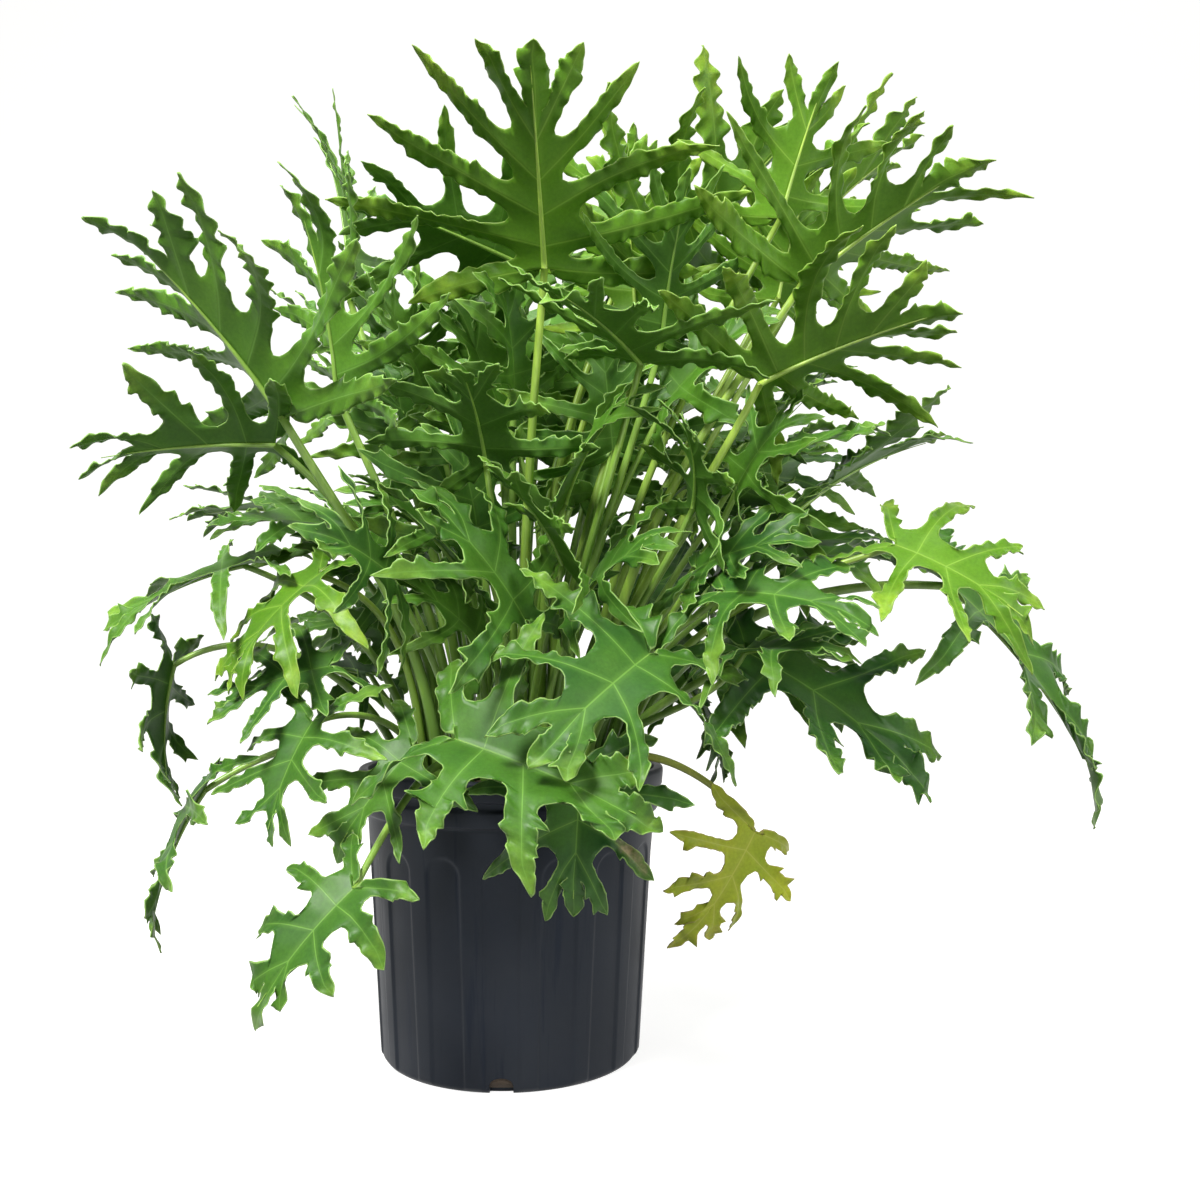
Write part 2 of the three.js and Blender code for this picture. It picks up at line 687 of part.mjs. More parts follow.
// The small moves that a leaf may take to stay clear of the others, the smallest first: a slide
// along the line of sight in millimetres, turns in degrees about its own axes, and a scale.
const moveCount = 2400;
const moveCost = (move) =>
  Math.abs(move.slide) / 15 + (Math.abs(move.yaw) + Math.abs(move.pitch)) / 7 +
  Math.abs(move.roll) / 13 + (1 - move.scale) * 20;
const moves = [];
for (const slide of [0, 15, -15, 30, -30, 45, -45, 65, -65, 85, -85])
  for (const yaw of [0, 9, -9, 18, -18])
    for (const pitch of [0, 9, -9, 18, -18])
      for (const roll of [0, 13, -13, 26, -26])
        for (const scale of [1, 0.86, 0.74])
          moves.push({ slide, yaw, pitch, roll, scale });
moves.sort((a, b) => moveCost(a) - moveCost(b));
moves.length = moveCount;

// A row of the table with what most rows leave out. The lengths `notch` and `reach` are shares of
// the midrib's length, `petiole` and `collar` are half widths in millimetres, and `back` is the
// angle of the lobe nearest the petiole. The leaves that stand high fan and fold upwards.
function finishRow(leaf) {
  const size = new THREE.Vector3(...leaf.to).distanceTo(new THREE.Vector3(...leaf.at));
  const rise = Math.hypot(leaf.at[0], leaf.at[1], leaf.at[2] - soilTop);
  const high = leaf.at[2] > 480;
  return {
    tone: "grown",
    pairs: leaf.breadth < 0.063 && leaf.at[2] > 480 ? 5 : 4,
    rows: 2,
    notch: 0.11 + 1.3 * leaf.breadth,
    back: high ? 104 : 126,
    reach: 1.05,
    fold: high ? 0.36 : 0.22,
    sag: high ? 0.14 : 0.24,
    size,
    steps: rise > 330 ? 5 : rise > 200 ? 4 : 3,
    petiole: 1.6 + 0.016 * size,
    collar: 1.4 + 0.012 * size,
    ...leaf,
  };
}

// A solid with its box, which is grown by the clearance so that two boxes show a near meeting.
function boxed(solid) {
  const { min, max } = solid.boundingBox();
  const box = new THREE.Box3(new THREE.Vector3(...min), new THREE.Vector3(...max));
  return { solid, box: box.expandByScalar(clearance) };
}

// Whether a solid stays clear of all the others by the gap. What blocked the last one is moved
// to the front of the list, because it is likely to block the next one too.
function isClear(solid, others, gap) {
  const one = boxed(solid);
  const blocker = others.findIndex((other) =>
    one.box.intersectsBox(other.box) && one.solid.minGap(other.solid, gap) < gap);
  if (blocker > 0) others.unshift(...others.splice(blocker, 1));
  return blocker < 0;
}

// The whole leaf on a root, or null where its petiole meets its own blade, another leaf or the pot.
function growFrom(root, leaf, sheet, blade, others) {
  const rings = petioleRings(leaf, root, sheet);
  const petiole = petioleSolid(rings);
  const shortened = rings[0].map((corner, k) => corner.clone().lerp(rings[1][k], 0.25));
  const free = petioleSolid([shortened, ...rings.slice(1)]);
  const clear = free.minGap(blade, clearance) >= clearance && isClear(petiole, others, clearance);
  petiole.delete();
  free.delete();
  if (!clear) return null;
  const whole = leafFaces(sheet, rings);
  if (crossesItself(whole)) return null;
  const solid = solidOf(whole);
  return isClear(solid, others, clearance) ? { ...boxed(solid), leaf, root } : null;
}

// One leaf set among the others: the first small move that leaves its blade clear, with the first
// root from which its petiole reaches it clear.
function settle(leaf, index, soilBlock, others) {
  for (const move of moves) {
    const sheet = placeSheet(index, leaf, move);
    const blade = solidOf(leafFaces(sheet));
    if (isClear(blade, soilBlock, soilClearance) && isClear(blade, others, clearance))
      for (let attempt = 0; attempt < rootAttempts; attempt++) {
        const grown = growFrom(rootOf(leaf, attempt), leaf, sheet, blade, others);
        if (grown) return grown;
      }
    blade.delete();
  }
  throw new Error("no room for leaf_" + leaf.name);
}

const looks = {
  pot: { color: 0x23272c, roughness: 0.42 },
  soil: { color: 0x33271e, roughness: 0.95 },
  grown: { color: 0x3c7a2e, roughness: 0.45 },
  young: { color: 0x6ea63a, roughness: 0.45 },
  yellow: { color: 0xb9bd3c, roughness: 0.5 },
};

function piece(name, solid, look) {
  const mesh = new THREE.Mesh(
    geometryOf(solid),
    new THREE.MeshStandardMaterial({ ...looks[look], metalness: 0 }),
  );
  mesh.name = name;
  return mesh;
}

const pot = potSolid();
const soilBlock = [boxed(cavity(seatGap, soilTop))];
const neighbours = [boxed(pot)];
const grown = leaves.map(finishRow).map((leaf, index) => {
  const found = settle(leaf, index, soilBlock, neighbours);
  neighbours.push(found);
  return found;
});

const plant = new THREE.Group();
plant.add(piece("pot", pot, "pot"), piece("soil", soilSolid(grown), "soil"));
for (const { leaf, solid } of grown) plant.add(piece("leaf_" + leaf.name, solid, leaf.tone));

export default plant;
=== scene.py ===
import bpy
import numpy as np
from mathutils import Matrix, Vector


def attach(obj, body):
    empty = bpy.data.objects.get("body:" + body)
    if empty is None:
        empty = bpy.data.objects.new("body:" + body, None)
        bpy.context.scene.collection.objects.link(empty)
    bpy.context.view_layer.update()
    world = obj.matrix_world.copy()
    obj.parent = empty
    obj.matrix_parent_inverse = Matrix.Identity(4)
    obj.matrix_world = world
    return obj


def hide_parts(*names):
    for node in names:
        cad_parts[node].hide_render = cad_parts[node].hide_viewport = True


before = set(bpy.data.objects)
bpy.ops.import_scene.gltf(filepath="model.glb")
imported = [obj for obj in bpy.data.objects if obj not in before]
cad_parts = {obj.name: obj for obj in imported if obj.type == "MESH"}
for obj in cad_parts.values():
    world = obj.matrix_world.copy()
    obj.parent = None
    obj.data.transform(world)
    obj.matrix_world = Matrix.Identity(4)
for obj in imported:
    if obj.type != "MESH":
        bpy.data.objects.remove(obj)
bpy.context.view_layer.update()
print("frame loaded")


# small helpers

join = np.concatenate


# a vector, or each row of an array, over its own length
def unit(v):
    return v / np.maximum(np.linalg.norm(v, axis=-1, keepdims=True), 1e-12)


# coordinates side by side, as the last axis
def stacked(*parts):
    return np.stack(parts, -1)


# smoothstep: 0 below low, 1 above high, 3x^2 - 2x^3 between
def ease(x, low, high):
    x = np.clip((x - low) / (high - low), 0, 1)
    return x * x * (3 - 2 * x)


# repeatable number from -1 to 1 for a leaf, a lobe and a purpose: the fraction of a large sine
def spread(leaf, lobe, purpose):
    wave = np.sin(leaf * 12.9898 + lobe * 78.233 + purpose * 37.719) * 43758.5453
    return 2 * (wave - np.floor(wave)) - 1


# two triangles a cell for a grid of points; wrapped joins its last column to the first
def gridFaces(rows, cols, wrapped=False):
    i, j = np.meshgrid(np.arange(rows - 1), np.arange(cols if wrapped else cols - 1), indexing="ij")
    a, b = i * cols + j, i * cols + (j + 1) % cols
    c, d = a + cols, b + cols
    return join([stacked(a, c, d), stacked(a, d, b)]).reshape(-1, 3)


def newObject(name, data):
    thing = bpy.data.objects.new(name, data)
    bpy.context.scene.collection.objects.link(thing)
    return thing


# a mesh object from points in mm, triangles, material numbers and point attributes
def makePiece(name, points, faces, materials, slots=None, attributes=(), flat=False):
    mesh = bpy.data.meshes.new(name)
    mesh.from_pydata((points * 0.001).tolist(), [], faces.tolist())
    for material in materials:
        mesh.materials.append(material)
    if slots is not None:
        mesh.polygons.foreach_set("material_index", slots.astype(np.int32))
    for key, values in dict(attributes).items():
        mesh.attributes.new(key, "FLOAT", "POINT").data.foreach_set("value", values.astype(np.float32))
    mesh.polygons.foreach_set("use_smooth", np.full(len(faces), not flat))
    mesh.update()
    return newObject(name, mesh)


# materials

# a shader node; each of its inputs is a value or another node's socket
def newNode(tree, kind, inputs=(), **settings):
    node = tree.nodes.new("ShaderNode" + kind)
    for key, value in settings.items():
        setattr(node, key, value)
    for key, value in dict(inputs).items():
        if isinstance(value, bpy.types.NodeSocket):
            tree.links.new(value, node.inputs[key])
        else:
            node.inputs[key].default_value = value
    return node


def attribute(tree, key):
    return newNode(tree, "Attribute", attribute_name=key).outputs["Fac"]


def maths(tree, operation, a, b=0.0):
    return newNode(tree, "Math", {0: a, 1: b}, operation=operation).outputs[0]


def times(tree, a, b):
    return maths(tree, "MULTIPLY", a, b)


# value carried from the span low to high over to start to end
def mapped(tree, value, low, high, start, end, kind="LINEAR"):
    return newNode(tree, "MapRange", {"Value": value, "From Min": low, "From Max": high, "To Min": start,
                                      "To Max": end}, interpolation_type=kind).outputs["Result"]


# 1 where value is below low, 0 where it is above high, smooth between
def below(tree, value, low, high):
    return mapped(tree, value, low, high, 1.0, 0.0, "SMOOTHSTEP")


def mixColour(tree, factor, a, b, blend="MIX"):
    return newNode(tree, "Mix", {0: factor, 6: a, 7: b}, data_type="RGBA", blend_type=blend).outputs[2]


# cloudy noise from 0 to 1 on Object coordinates, drawn out where stretch is small
def noise(tree, scale, detail=3.0, roughness=0.55, stretch=(1, 1, 1)):
    where = newNode(tree, "TexCoord").outputs["Object"]
    where = newNode(tree, "Mapping", {"Vector": where, "Scale": stretch}).outputs[0]
    return newNode(tree, "TexNoise", {"Vector": where, "Scale": scale, "Detail": detail,
                                      "Roughness": roughness}).outputs["Fac"]


# blade: from the Deep to the Fresh colour by a value that rises with the leaf's height, and slow noise,
# lime towards the lobe tips, pale on veins and margin, and a dry tan patch where one is marked. The Deep
# green is partly painted shade on the lower leaves, and the lime partly painted light on the young top
# leaves
def bladeGroup():
    tree = bpy.data.node_groups.new("bladePattern", "ShaderNodeTree")
    sockets = [("INPUT", key, "Color") for key in ("Deep", "Fresh", "Lime", "Vein", "Margin", "Dry")]
    sockets += [("INPUT", "Vein Share", "Float"), ("OUTPUT", "Color", "Color"),
                ("OUTPUT", "Roughness", "Float"), ("OUTPUT", "Height", "Float")]
    for way, key, kind in sockets:
        tree.interface.new_socket(name=key, in_out=way, socket_type="NodeSocket" + kind)
    given, out = tree.nodes.new("NodeGroupInput").outputs, tree.nodes.new("NodeGroupOutput").inputs
    cloud = times(tree, maths(tree, "SUBTRACT", noise(tree, 22, 3), 0.5), 0.9)
    # painted shade, in part: low values, on low leaves, take the Deep green, which stands partly for the
    # shaded inner crown
    freshAndLit = maths(tree, "MAXIMUM", maths(tree, "ADD", attribute(tree, "freshAndLit"), cloud), 0)
    colour = mixColour(tree, maths(tree, "MINIMUM", freshAndLit, 1.0), given["Deep"], given["Fresh"])
    # painted light, in part: the lime at the lobe tips is their own yellower green, made stronger on the
    # young top leaves to stand for lobes that catch the light
    lime = times(tree, attribute(tree, "lime"), below(tree, noise(tree, 60, 4), 0.75, 0.2))
    colour = mixColour(tree, lime, colour, given["Lime"])
    fine = noise(tree, 420, 4, 0.6)
    mottle = mapped(tree, fine, 0.3, 0.7, 0.86, 1.1)
    shade = newNode(tree, "CombineColor", {0: mottle, 1: mottle, 2: mottle}).outputs[0]
    colour = mixColour(tree, 1.0, colour, shade, "MULTIPLY")
    near = maths(tree, "MINIMUM", attribute(tree, "lobeVein"), attribute(tree, "midVein"))
    line = times(tree, below(tree, near, 0.45, 1.25), given["Vein Share"])
    halo = times(tree, below(tree, near, 1.0, 7.0), 0.22)
    colour = mixColour(tree, maths(tree, "MAXIMUM", line, halo), colour, given["Vein"])
    edge = below(tree, attribute(tree, "margin"), 0.25, 0.85)
    colour = mixColour(tree, times(tree, edge, 0.75), colour, given["Margin"])
    dry = times(tree, attribute(tree, "dry"), below(tree, noise(tree, 90, 4), 0.8, 0.35))
    rough = mapped(tree, noise(tree, 45, 3), 0.0, 1.0, 0.34, 0.56)
    tree.links.new(mixColour(tree, dry, colour, given["Dry"]), out["Color"])
    tree.links.new(maths(tree, "ADD", rough, times(tree, dry, 0.25)), out["Roughness"])
    tree.links.new(maths(tree, "ADD", times(tree, fine, 0.5), times(tree, line, -0.5)), out["Height"])
    return tree


def newMaterial(name):
    material = bpy.data.materials.new(name)
    material.use_nodes = True
    material.node_tree.nodes.clear()
    return material, material.node_tree


# the shader with its output; bump is (height, strength, depth in metres)
def finishMaterial(tree, inputs, bump=None):
    if bump:
        height, strength, depth = bump
        node = newNode(tree, "Bump", {"Height": height, "Strength": strength, "Distance": depth})
        inputs = {**inputs, "Normal": node.outputs[0]}
    shader = newNode(tree, "BsdfPrincipled", inputs)
    newNode(tree, "OutputMaterial", {"Surface": shader.outputs[0]})


bladePattern = bladeGroup()


def bladeMaterial(name, colours, gloss=1.0, veinShare=0.8, depth=0.0002):
    material, tree = newMaterial(name)
    given = {"Vein Share": veinShare, **{key: (*value, 1) for key, value in colours.items()}}
    pattern = newNode(tree, "Group", given, node_tree=bladePattern).outputs
    finishMaterial(tree, {"Base Color": pattern["Color"], "Roughness": pattern["Roughness"],
                          "Specular IOR Level": 0.24 * gloss, "Subsurface Weight": 0.22,
                          "Subsurface Scale": 0.0012, "Subsurface Radius": (0.5, 1.0, 0.1)},
                   (pattern["Height"], 0.5, depth))
    return material


# stalk: paler up to the blade, with fine lengthwise streaks
def stalkMaterial(name, foot, top):
    material, tree = newMaterial(name)
    streak = noise(tree, 90, 3, 0.6, (1, 1, 0.08))
    fine = noise(tree, 700, 3, 0.6, (1, 1, 0.15))
    colour = mixColour(tree, attribute(tree, "climb"), (*foot, 1), (*top, 1))
    dull = times(tree, below(tree, streak, 0.55, 0.3), 0.4)
    colour = mixColour(tree, dull, colour, (0.07, 0.16, 0.03, 1))
    rough = maths(tree, "ADD", times(tree, streak, 0.3), 0.22)
    finishMaterial(tree, {"Base Color": colour, "Roughness": rough, "Subsurface Weight": 0.1,
                          "Subsurface Scale": 0.003, "Subsurface Radius": (0.5, 1.0, 0.2)},
                   (fine, 0.35, 0.0003))
    return material


# a stalk's at the soil and at its blade, and a blade's
stalkColours = {"grown": ((0.17, 0.33, 0.04), (0.34, 0.56, 0.08)),
                "young": ((0.22, 0.4, 0.045), (0.46, 0.66, 0.09)),
                "yellow": ((0.42, 0.47, 0.06), (0.6, 0.6, 0.1))}
# Deep is the older leaves' darker green and partly painted shade, the colour of the crown's shaded middle
bladeColours = {
    # Lime is the lobe tips' yellower green, partly painted light on the young top leaves
    "grown": {"Deep": (0.018, 0.084, 0.012), "Fresh": (0.105, 0.255, 0.018), "Lime": (0.25, 0.44, 0.045),
              "Vein": (0.15, 0.32, 0.05), "Margin": (0.3, 0.48, 0.13), "Dry": (0.62, 0.42, 0.27)},
    "young": {"Deep": (0.042, 0.14, 0.006), "Fresh": (0.125, 0.285, 0.012), "Lime": (0.38, 0.56, 0.05),
              "Vein": (0.22, 0.4, 0.045), "Margin": (0.32, 0.48, 0.1), "Dry": (0.62, 0.42, 0.27)},
    "yellow": {"Deep": (0.27, 0.38, 0.02), "Fresh": (0.62, 0.62, 0.035), "Lime": (0.66, 0.6, 0.07),
               "Vein": (0.52, 0.56, 0.09), "Margin": (0.52, 0.46, 0.12), "Dry": (0.45, 0.28, 0.1)},
}


# the underside is paler, greyer and duller, with veins that stand out
def underside(colours):
    grey = np.array([0.11, 0.20, 0.04])
    return {key: tuple(np.array(value) * 0.85 + grey * 0.15) for key, value in colours.items()}


bladeUpper = {tone: bladeMaterial("bladeUpper_" + tone, c) for tone, c in bladeColours.items()}
bladeUnder = {tone: bladeMaterial("bladeUnder_" + tone, underside(c), 0.6, 0.9, 0.0003)
              for tone, c in bladeColours.items()}
stalk = {tone: stalkMaterial("stalk" + tone.title(), *pair) for tone, pair in stalkColours.items()}
print("materials made")


# leaves

# at: where the blade joins its stalk, to: where the midrib ends, face: the way of the upper side,
# arrive: the stalk's slope in degrees there, breadth: half width of a lobe over the midrib's length
def placed(at, to, face, arrive, breadth, **more):
    return dict(at=at, to=to, face=face, arrive=arrive, breadth=breadth, **more)


leafTable = {
    "front_big": placed((-25, -185, 272), (105, -236, 234), (0, -3, 4), 10, 0.08, reach=0.82, fold=0.42,
        sag=0.12),
    "front_mid": placed((110, -140, 330), (35, -215, 270), (1, -4, 3), 35, 0.078),
    "front_high": placed((20, -160, 355), (-35, -215, 440), (1, -3, 3), 50, 0.07),
    "top_left": placed((30, -70, 635), (25, -175, 765), (0, 3, 4), 75, 0.061, reach=1.12, tone="young"),
    "top_mid": placed((130, 10, 640), (232, 66, 808), (-3, 2, 3), 70, 0.062, reach=0.95, tone="young"),
    "top_right": placed((235, -60, 625), (355, -105, 718), (-2, 4, 5), 55, 0.057, reach=1.1, tone="young"),
    "top_droop": placed((105, -110, 550), (50, -210, 590), (0, -1, 3), 70, 0.061, reach=1.1, pairs=4),
    "top_inner": placed((125, -15, 590), (118, -50, 715), (-1, 4, 1), 75, 0.043, reach=1.1),
    "right_high": placed((195, -110, 535), (320, -160, 590), (-1, 3, 4), 60, 0.061, reach=1.1,
        tone="young"),
    "left_big": placed((-160, -130, 505), (-255, -160, 650), (3, 3, 4), 55, 0.062, reach=1.1),
    "left_side": placed((-175, -100, 490), (-305, -120, 490), (0, 1, 4), 35, 0.061, reach=1, pairs=4),
    "left_tall": placed((-135, -60, 535), (-145, -75, 690), (3, 2, 1), 65, 0.057, reach=1.1),
    "right_far": placed((365, -20, 385), (505, -75, 245), (2, -2, 4), -5, 0.058, reach=0.72),
    "right_lime": placed((310, -60, 415), (400, -110, 375), (0, -3, 3), 15, 0.066, tone="young"),
    "right_low": placed((190, -60, 330), (330, -120, 260), (0, -3, 3), 35, 0.07, reach=0.95),
    "right_mid": placed((145, -110, 440), (150, -170, 500), (1, -3, 3), 60, 0.066),
    "mid_left": placed((-10, -130, 470), (-15, -205, 545), (0, -2, 3), 70, 0.066),
    "left_hook": placed((-265, -60, 320), (-282, -84, 222), (-3, 0, 0), -35, 0.066, reach=0.8),
    "left_hang": placed((-230, -90, 225), (-282, -122, 132), (-3, -1, 2), -35, 0.066, reach=0.85),
    "pot_left": placed((-90, -210, 175), (-158, -245, 112), (-2, -3, 1), -45, 0.076, reach=0.7),
    "yellow": placed((195, -70, 190), (148, -95, 100), (2, -4, 0), -60, 0.07, reach=0.72, back=96,
        full=0.86, notch=0.14, tooth=1.2, tone="yellow"),
    "rim_left": placed((-60, -150, 262), (-105, -190, 200), (-1, -3, 2), -10, 0.078),
    "front_under": placed((60, -150, 245), (55, -185, 160), (0, -4, 1), -20, 0.086, dryLobe=2),
    "left_low": placed((-210, -60, 400), (-315, -85, 372), (0, -1, 4), 20, 0.062),
    "left_lime": placed((-140, -100, 390), (-210, -145, 330), (-2, -2, 3), 15, 0.07, tone="young"),
    "left_curl": placed((-130, -110, 320), (-210, -140, 318), (0, -2, 3), 20, 0.07),
    "left_drop": placed((-135, -140, 280), (-168, -185, 215), (-2, -3, 1), -20, 0.07),
    "left_face": placed((-75, -150, 385), (-100, -225, 420), (0, -3, 2), 50, 0.07),
    "left_pale": placed((-120, -90, 425), (-215, -115, 458), (0, -2, 3), 45, 0.07),
    "mid_round": placed((65, -70, 380), (100, -145, 425), (0, -2, 3), 55, 0.078),
    "right_bush_a": placed((250, 60, 455), (365, 105, 555), (-2, 0, 3), 50, 0.062),
    "right_bush_b": placed((220, -20, 405), (350, -50, 430), (0, -1, 3), 35, 0.062),
    "right_bush_c": placed((165, -140, 375), (262, -190, 385), (0, -2, 3), 35, 0.066),
    "right_bush_d": placed((195, 60, 510), (280, 110, 600), (-2, -1, 3), 60, 0.062),
    "right_dark": placed((150, 10, 300), (205, 0, 240), (2, -1, 2), 0, 0.078),
    "mid_back": placed((85, 0, 500), (75, -40, 600), (0, -3, 1), 75, 0.062),
    "top_left_low": placed((5, -20, 655), (-120, -75, 700), (0, 1, 3), 75, 0.057, reach=1.1, pairs=4),
    "top_right_back": placed((245, 60, 690), (350, 112, 825), (-3, -1, 3), 65, 0.057, reach=0.95, pairs=4,
        tone="young"),
    "left_back": placed((-150, 60, 645), (-160, 85, 805), (4, 0, 1), 70, 0.039, reach=1.1, tooth=0.1),
    "left_dark_a": placed((-125, 90, 510), (-150, 130, 600), (2, -2, 2), 65, 0.062),
    "left_dark_b": placed((-50, 80, 455), (-120, 110, 515), (1, -2, 3), 70, 0.062),
    "centre_a": placed((45, -60, 400), (20, -142, 460), (0, -2, 3), 60, 0.066),
    "centre_b": placed((120, 0, 445), (172, -72, 494), (1, -2, 3), 60, 0.066),
    "centre_c": placed((-40, -60, 400), (-98, -130, 460), (0, -2, 3), 60, 0.066),
    "right_bush_e": placed((180, -10, 400), (230, -70, 465), (0, -2, 3), 50, 0.062),
    "right_bush_f": placed((225, 80, 420), (325, 65, 450), (0, -2, 3), 40, 0.062),
    "inner_right": placed((190, -10, 470), (235, -60, 560), (-1, -2, 2), 65, 0.062),
    "inner_left": placed((-75, 0, 550), (-125, -50, 635), (1, -2, 2), 70, 0.062),
    "inner_low": placed((-15, -90, 335), (-60, -155, 385), (0, -3, 2), 45, 0.066),
}

# the far side: leaves step from low and wide to high, and turn on by the golden section
farRule = dict(count=9, firstTurn=15, sweep=150, reach=(265, -130), height=(285, 330), slope=(-22, 75))

leafForm = dict(
    thickness=0.7,  # of the blade, mm
    sinus=0.16,  # share of a lobe over which its edge swings out of the notch
    waveLength=19.0,  # of the ruffled margin, mm
    waveHeight=0.24,  # of the ruffles, over a lobe's half width
    scallop=0.07,  # how far the outline itself waves, over the half width
    teeth=(0.3, 0.21, 0.08),  # first place, step and stray, in shares of a lobe
    toothSpread=(0.085, 0.03),  # before a tooth's point and past it, the same way
    hook=0.5,  # how far a lobe's tip may turn aside, over the half width
    channel=0.2,  # depth of a lobe's hollow, over the half width
    swell=0.012,  # height of the blade between veins, over the midrib's length
    rows=(10, 56),  # fewest and most along a lobe
    webRows=6,  # from the midrib to the line between a lobe's notches
    rib=0.5,  # how far a vein stands out below, mm
    veinEnd=0.62,  # where the midrib becomes the tip lobe's own vein, over its length
    high=480,  # above this height leaves fan and fold upwards, mm
    soilTop=212.0, rootDepth=24.0,
    rootReach=88.0,  # how far from the pot's axis a stalk may root, mm
    stub=12.0,  # the stalk's upright start above the soil, mm
    eye=(74, -1014, 345),  # the camera, mm; leaves slide along its sight lines
)
columns = np.array([-1, -0.74, -0.2, 0, 0.2, 0.74, 1])


# reach, height and slope each run evenly from the first leaf to the last
def farLeaves():
    leaves = {}
    for i in range(farRule["count"]):
        turn = np.radians(farRule["firstTurn"] + farRule["sweep"] * ((0.5 + i * 0.618) % 1))
        rise = i / (farRule["count"] - 1)
        reach, height, slope = (farRule[k][0] + farRule[k][1] * rise for k in ("reach", "height", "slope"))
        slope = np.radians(slope)
        out = np.array([np.cos(turn), np.sin(turn), 0])
        at = out * reach + np.array([0, 0, height])
        along = out * np.cos(slope) + np.array([0, 0, np.sin(slope)])
        to = at + along * (120 + 45 * np.sin(2.4 * i) ** 2)
        leaves["far_%02d" % (i + 1)] = placed(at, to, (0, 0, 1), 10 + 60 * rise, 0.062, pairs=3)
    return leaves


# What most leaves share. notch is how far the cuts stay off the midrib and reach how long the lobes
# are, over the midrib's length; back is the angle of the lobe nearest the stalk, full how much wider
# the lobes are than the plain leaf's, pale how lime they end (the tips' own yellower green, raised on the
# young top leaves as painted light), tooth the largest tooth over a lobe's half width, blunt how late a
# lobe narrows, and rowStep the distance between rows along a lobe, mm.
def finishLeaf(row):
    size = np.linalg.norm(np.subtract(row["to"], row["at"]))
    high = row["at"][2] > leafForm["high"]
    return {"tone": "grown", "pairs": 5 if row["breadth"] < 0.063 and high else 4,
            "notch": (0.075 if high else 0.095) + 1.2 * row["breadth"],
            "back": 104 if high else 126, "reach": 1.05, "full": 1.12,
            "pale": 0.76 if row.get("tone") == "young" else 0.5,
            "fold": 0.36 if high else 0.22, "sag": 0.14 if high else 0.24,
            "tooth": 0.55 if high else 0.95, "blunt": 2.9 if high else 3.6, "rowStep": 2.8, "size": size,
            "petiole": 1.6 + 0.016 * size, "collar": 1.4 + 0.012 * size, **row}


# the lobes on a side by the CAD leaf's formulas, from the one that points back (f = 0) to the one
# nearest the tip (f = 1)
def lobesOf(index, leaf, side):
    lobes = []
    for k in range(leaf["pairs"]):
        f = k / (leaf["pairs"] - 1)
        number = k + (0 if side > 0 else 20)
        turn, far, wide, bend, lift, twist = (spread(index, number, n) for n in range(1, 7))
        usual = leaf["reach"] * (0.68 + 0.17 * np.sin(np.pi * f ** 0.8) - 0.22 * f * f)
        angle = leaf["back"] - (leaf["back"] - 33) * f ** 0.9 + 3 * turn
        lobes.append(dict(
            number=number, side=side, origin=0.6 * f ** 1.25, angle=side * np.radians(angle),
            length=usual * (1 + 0.14 * far), width=leaf["breadth"] * (1 - 0.15 * f) * (1 + 0.15 * wide),
            bend=0.2 * bend + 0.1, lift=0.3 * lift - 0.12, twist=0.7 * twist))
    return lobes


# the lobe that ends the midrib
def tipLobe(index, leaf):
    return dict(number=40, origin=0.64, angle=0.12 * spread(index, 40, 1), length=0.4,
                width=leaf["breadth"], bend=0.2 * spread(index, 40, 4),
                lift=-0.15 + 0.2 * spread(index, 40, 5), twist=0.7 * spread(index, 40, 6), side=1)


# a point at the share s along a lobe and t to its left: the axis curls aside with s squared
def lobePoint(lobe, s, t, w, curled=1):
    curl = -lobe["side"] * lobe["bend"] * s * s * lobe["length"] * 0.5 * curled
    c, d = np.cos(lobe["angle"]), np.sin(lobe["angle"])
    return stacked(lobe["origin"] + c * s * lobe["length"] - d * (t + curl),
                   d * s * lobe["length"] + c * (t + curl), w + 0 * s)


# the blade's whole form: halves rise from the midrib, and all sags with the square of the distance
def shapeBlade(leaf, p):
    u, v, w = p[..., 0], p[..., 1], p[..., 2]
    return stacked(u, v, w + leaf["fold"] * abs(v) - leaf["sag"] * u * u - leaf["sag"] * 1.2 * v * v)


# turns about x, y and z, one after the other, for arrays of angles in degrees
def turns(yaw, pitch, roll):
    a, b, c = np.radians(yaw), np.radians(pitch), np.radians(roll)
    o, i = 0 * a, 0 * a + 1
    about = [[np.cos(a), -np.sin(a), o, np.sin(a), np.cos(a), o, o, o, i],
             [np.cos(b), o, np.sin(b), o, i, o, -np.sin(b), o, np.cos(b)],
             [i, o, o, o, np.cos(c), -np.sin(c), o, np.sin(c), np.cos(c)]]
    z, y, x = (np.stack(m, -1).reshape(*a.shape, 3, 3) for m in about)
    return z @ y @ x


# every move that a leaf may have had: slide along the sight line, turns, and scale
moves = np.stack(np.meshgrid([0, 15, -15, 30, -30, 45, -45, 65, -65, 85, -85], [0, 9, -9, 18, -18],
                             [0, 9, -9, 18, -18], [0, 13, -13, 26, -26], [1, 0.86, 0.74],
                             indexing="ij"), -1).reshape(-1, 5)


# a leaf's own axes as columns: along the midrib, to its left, and out of the upper side
def leafAxes(at, to, face):
    along = unit(to - at)
    normal = unit(face - along * face.dot(along))
    return stacked(along, np.cross(normal, along), normal)


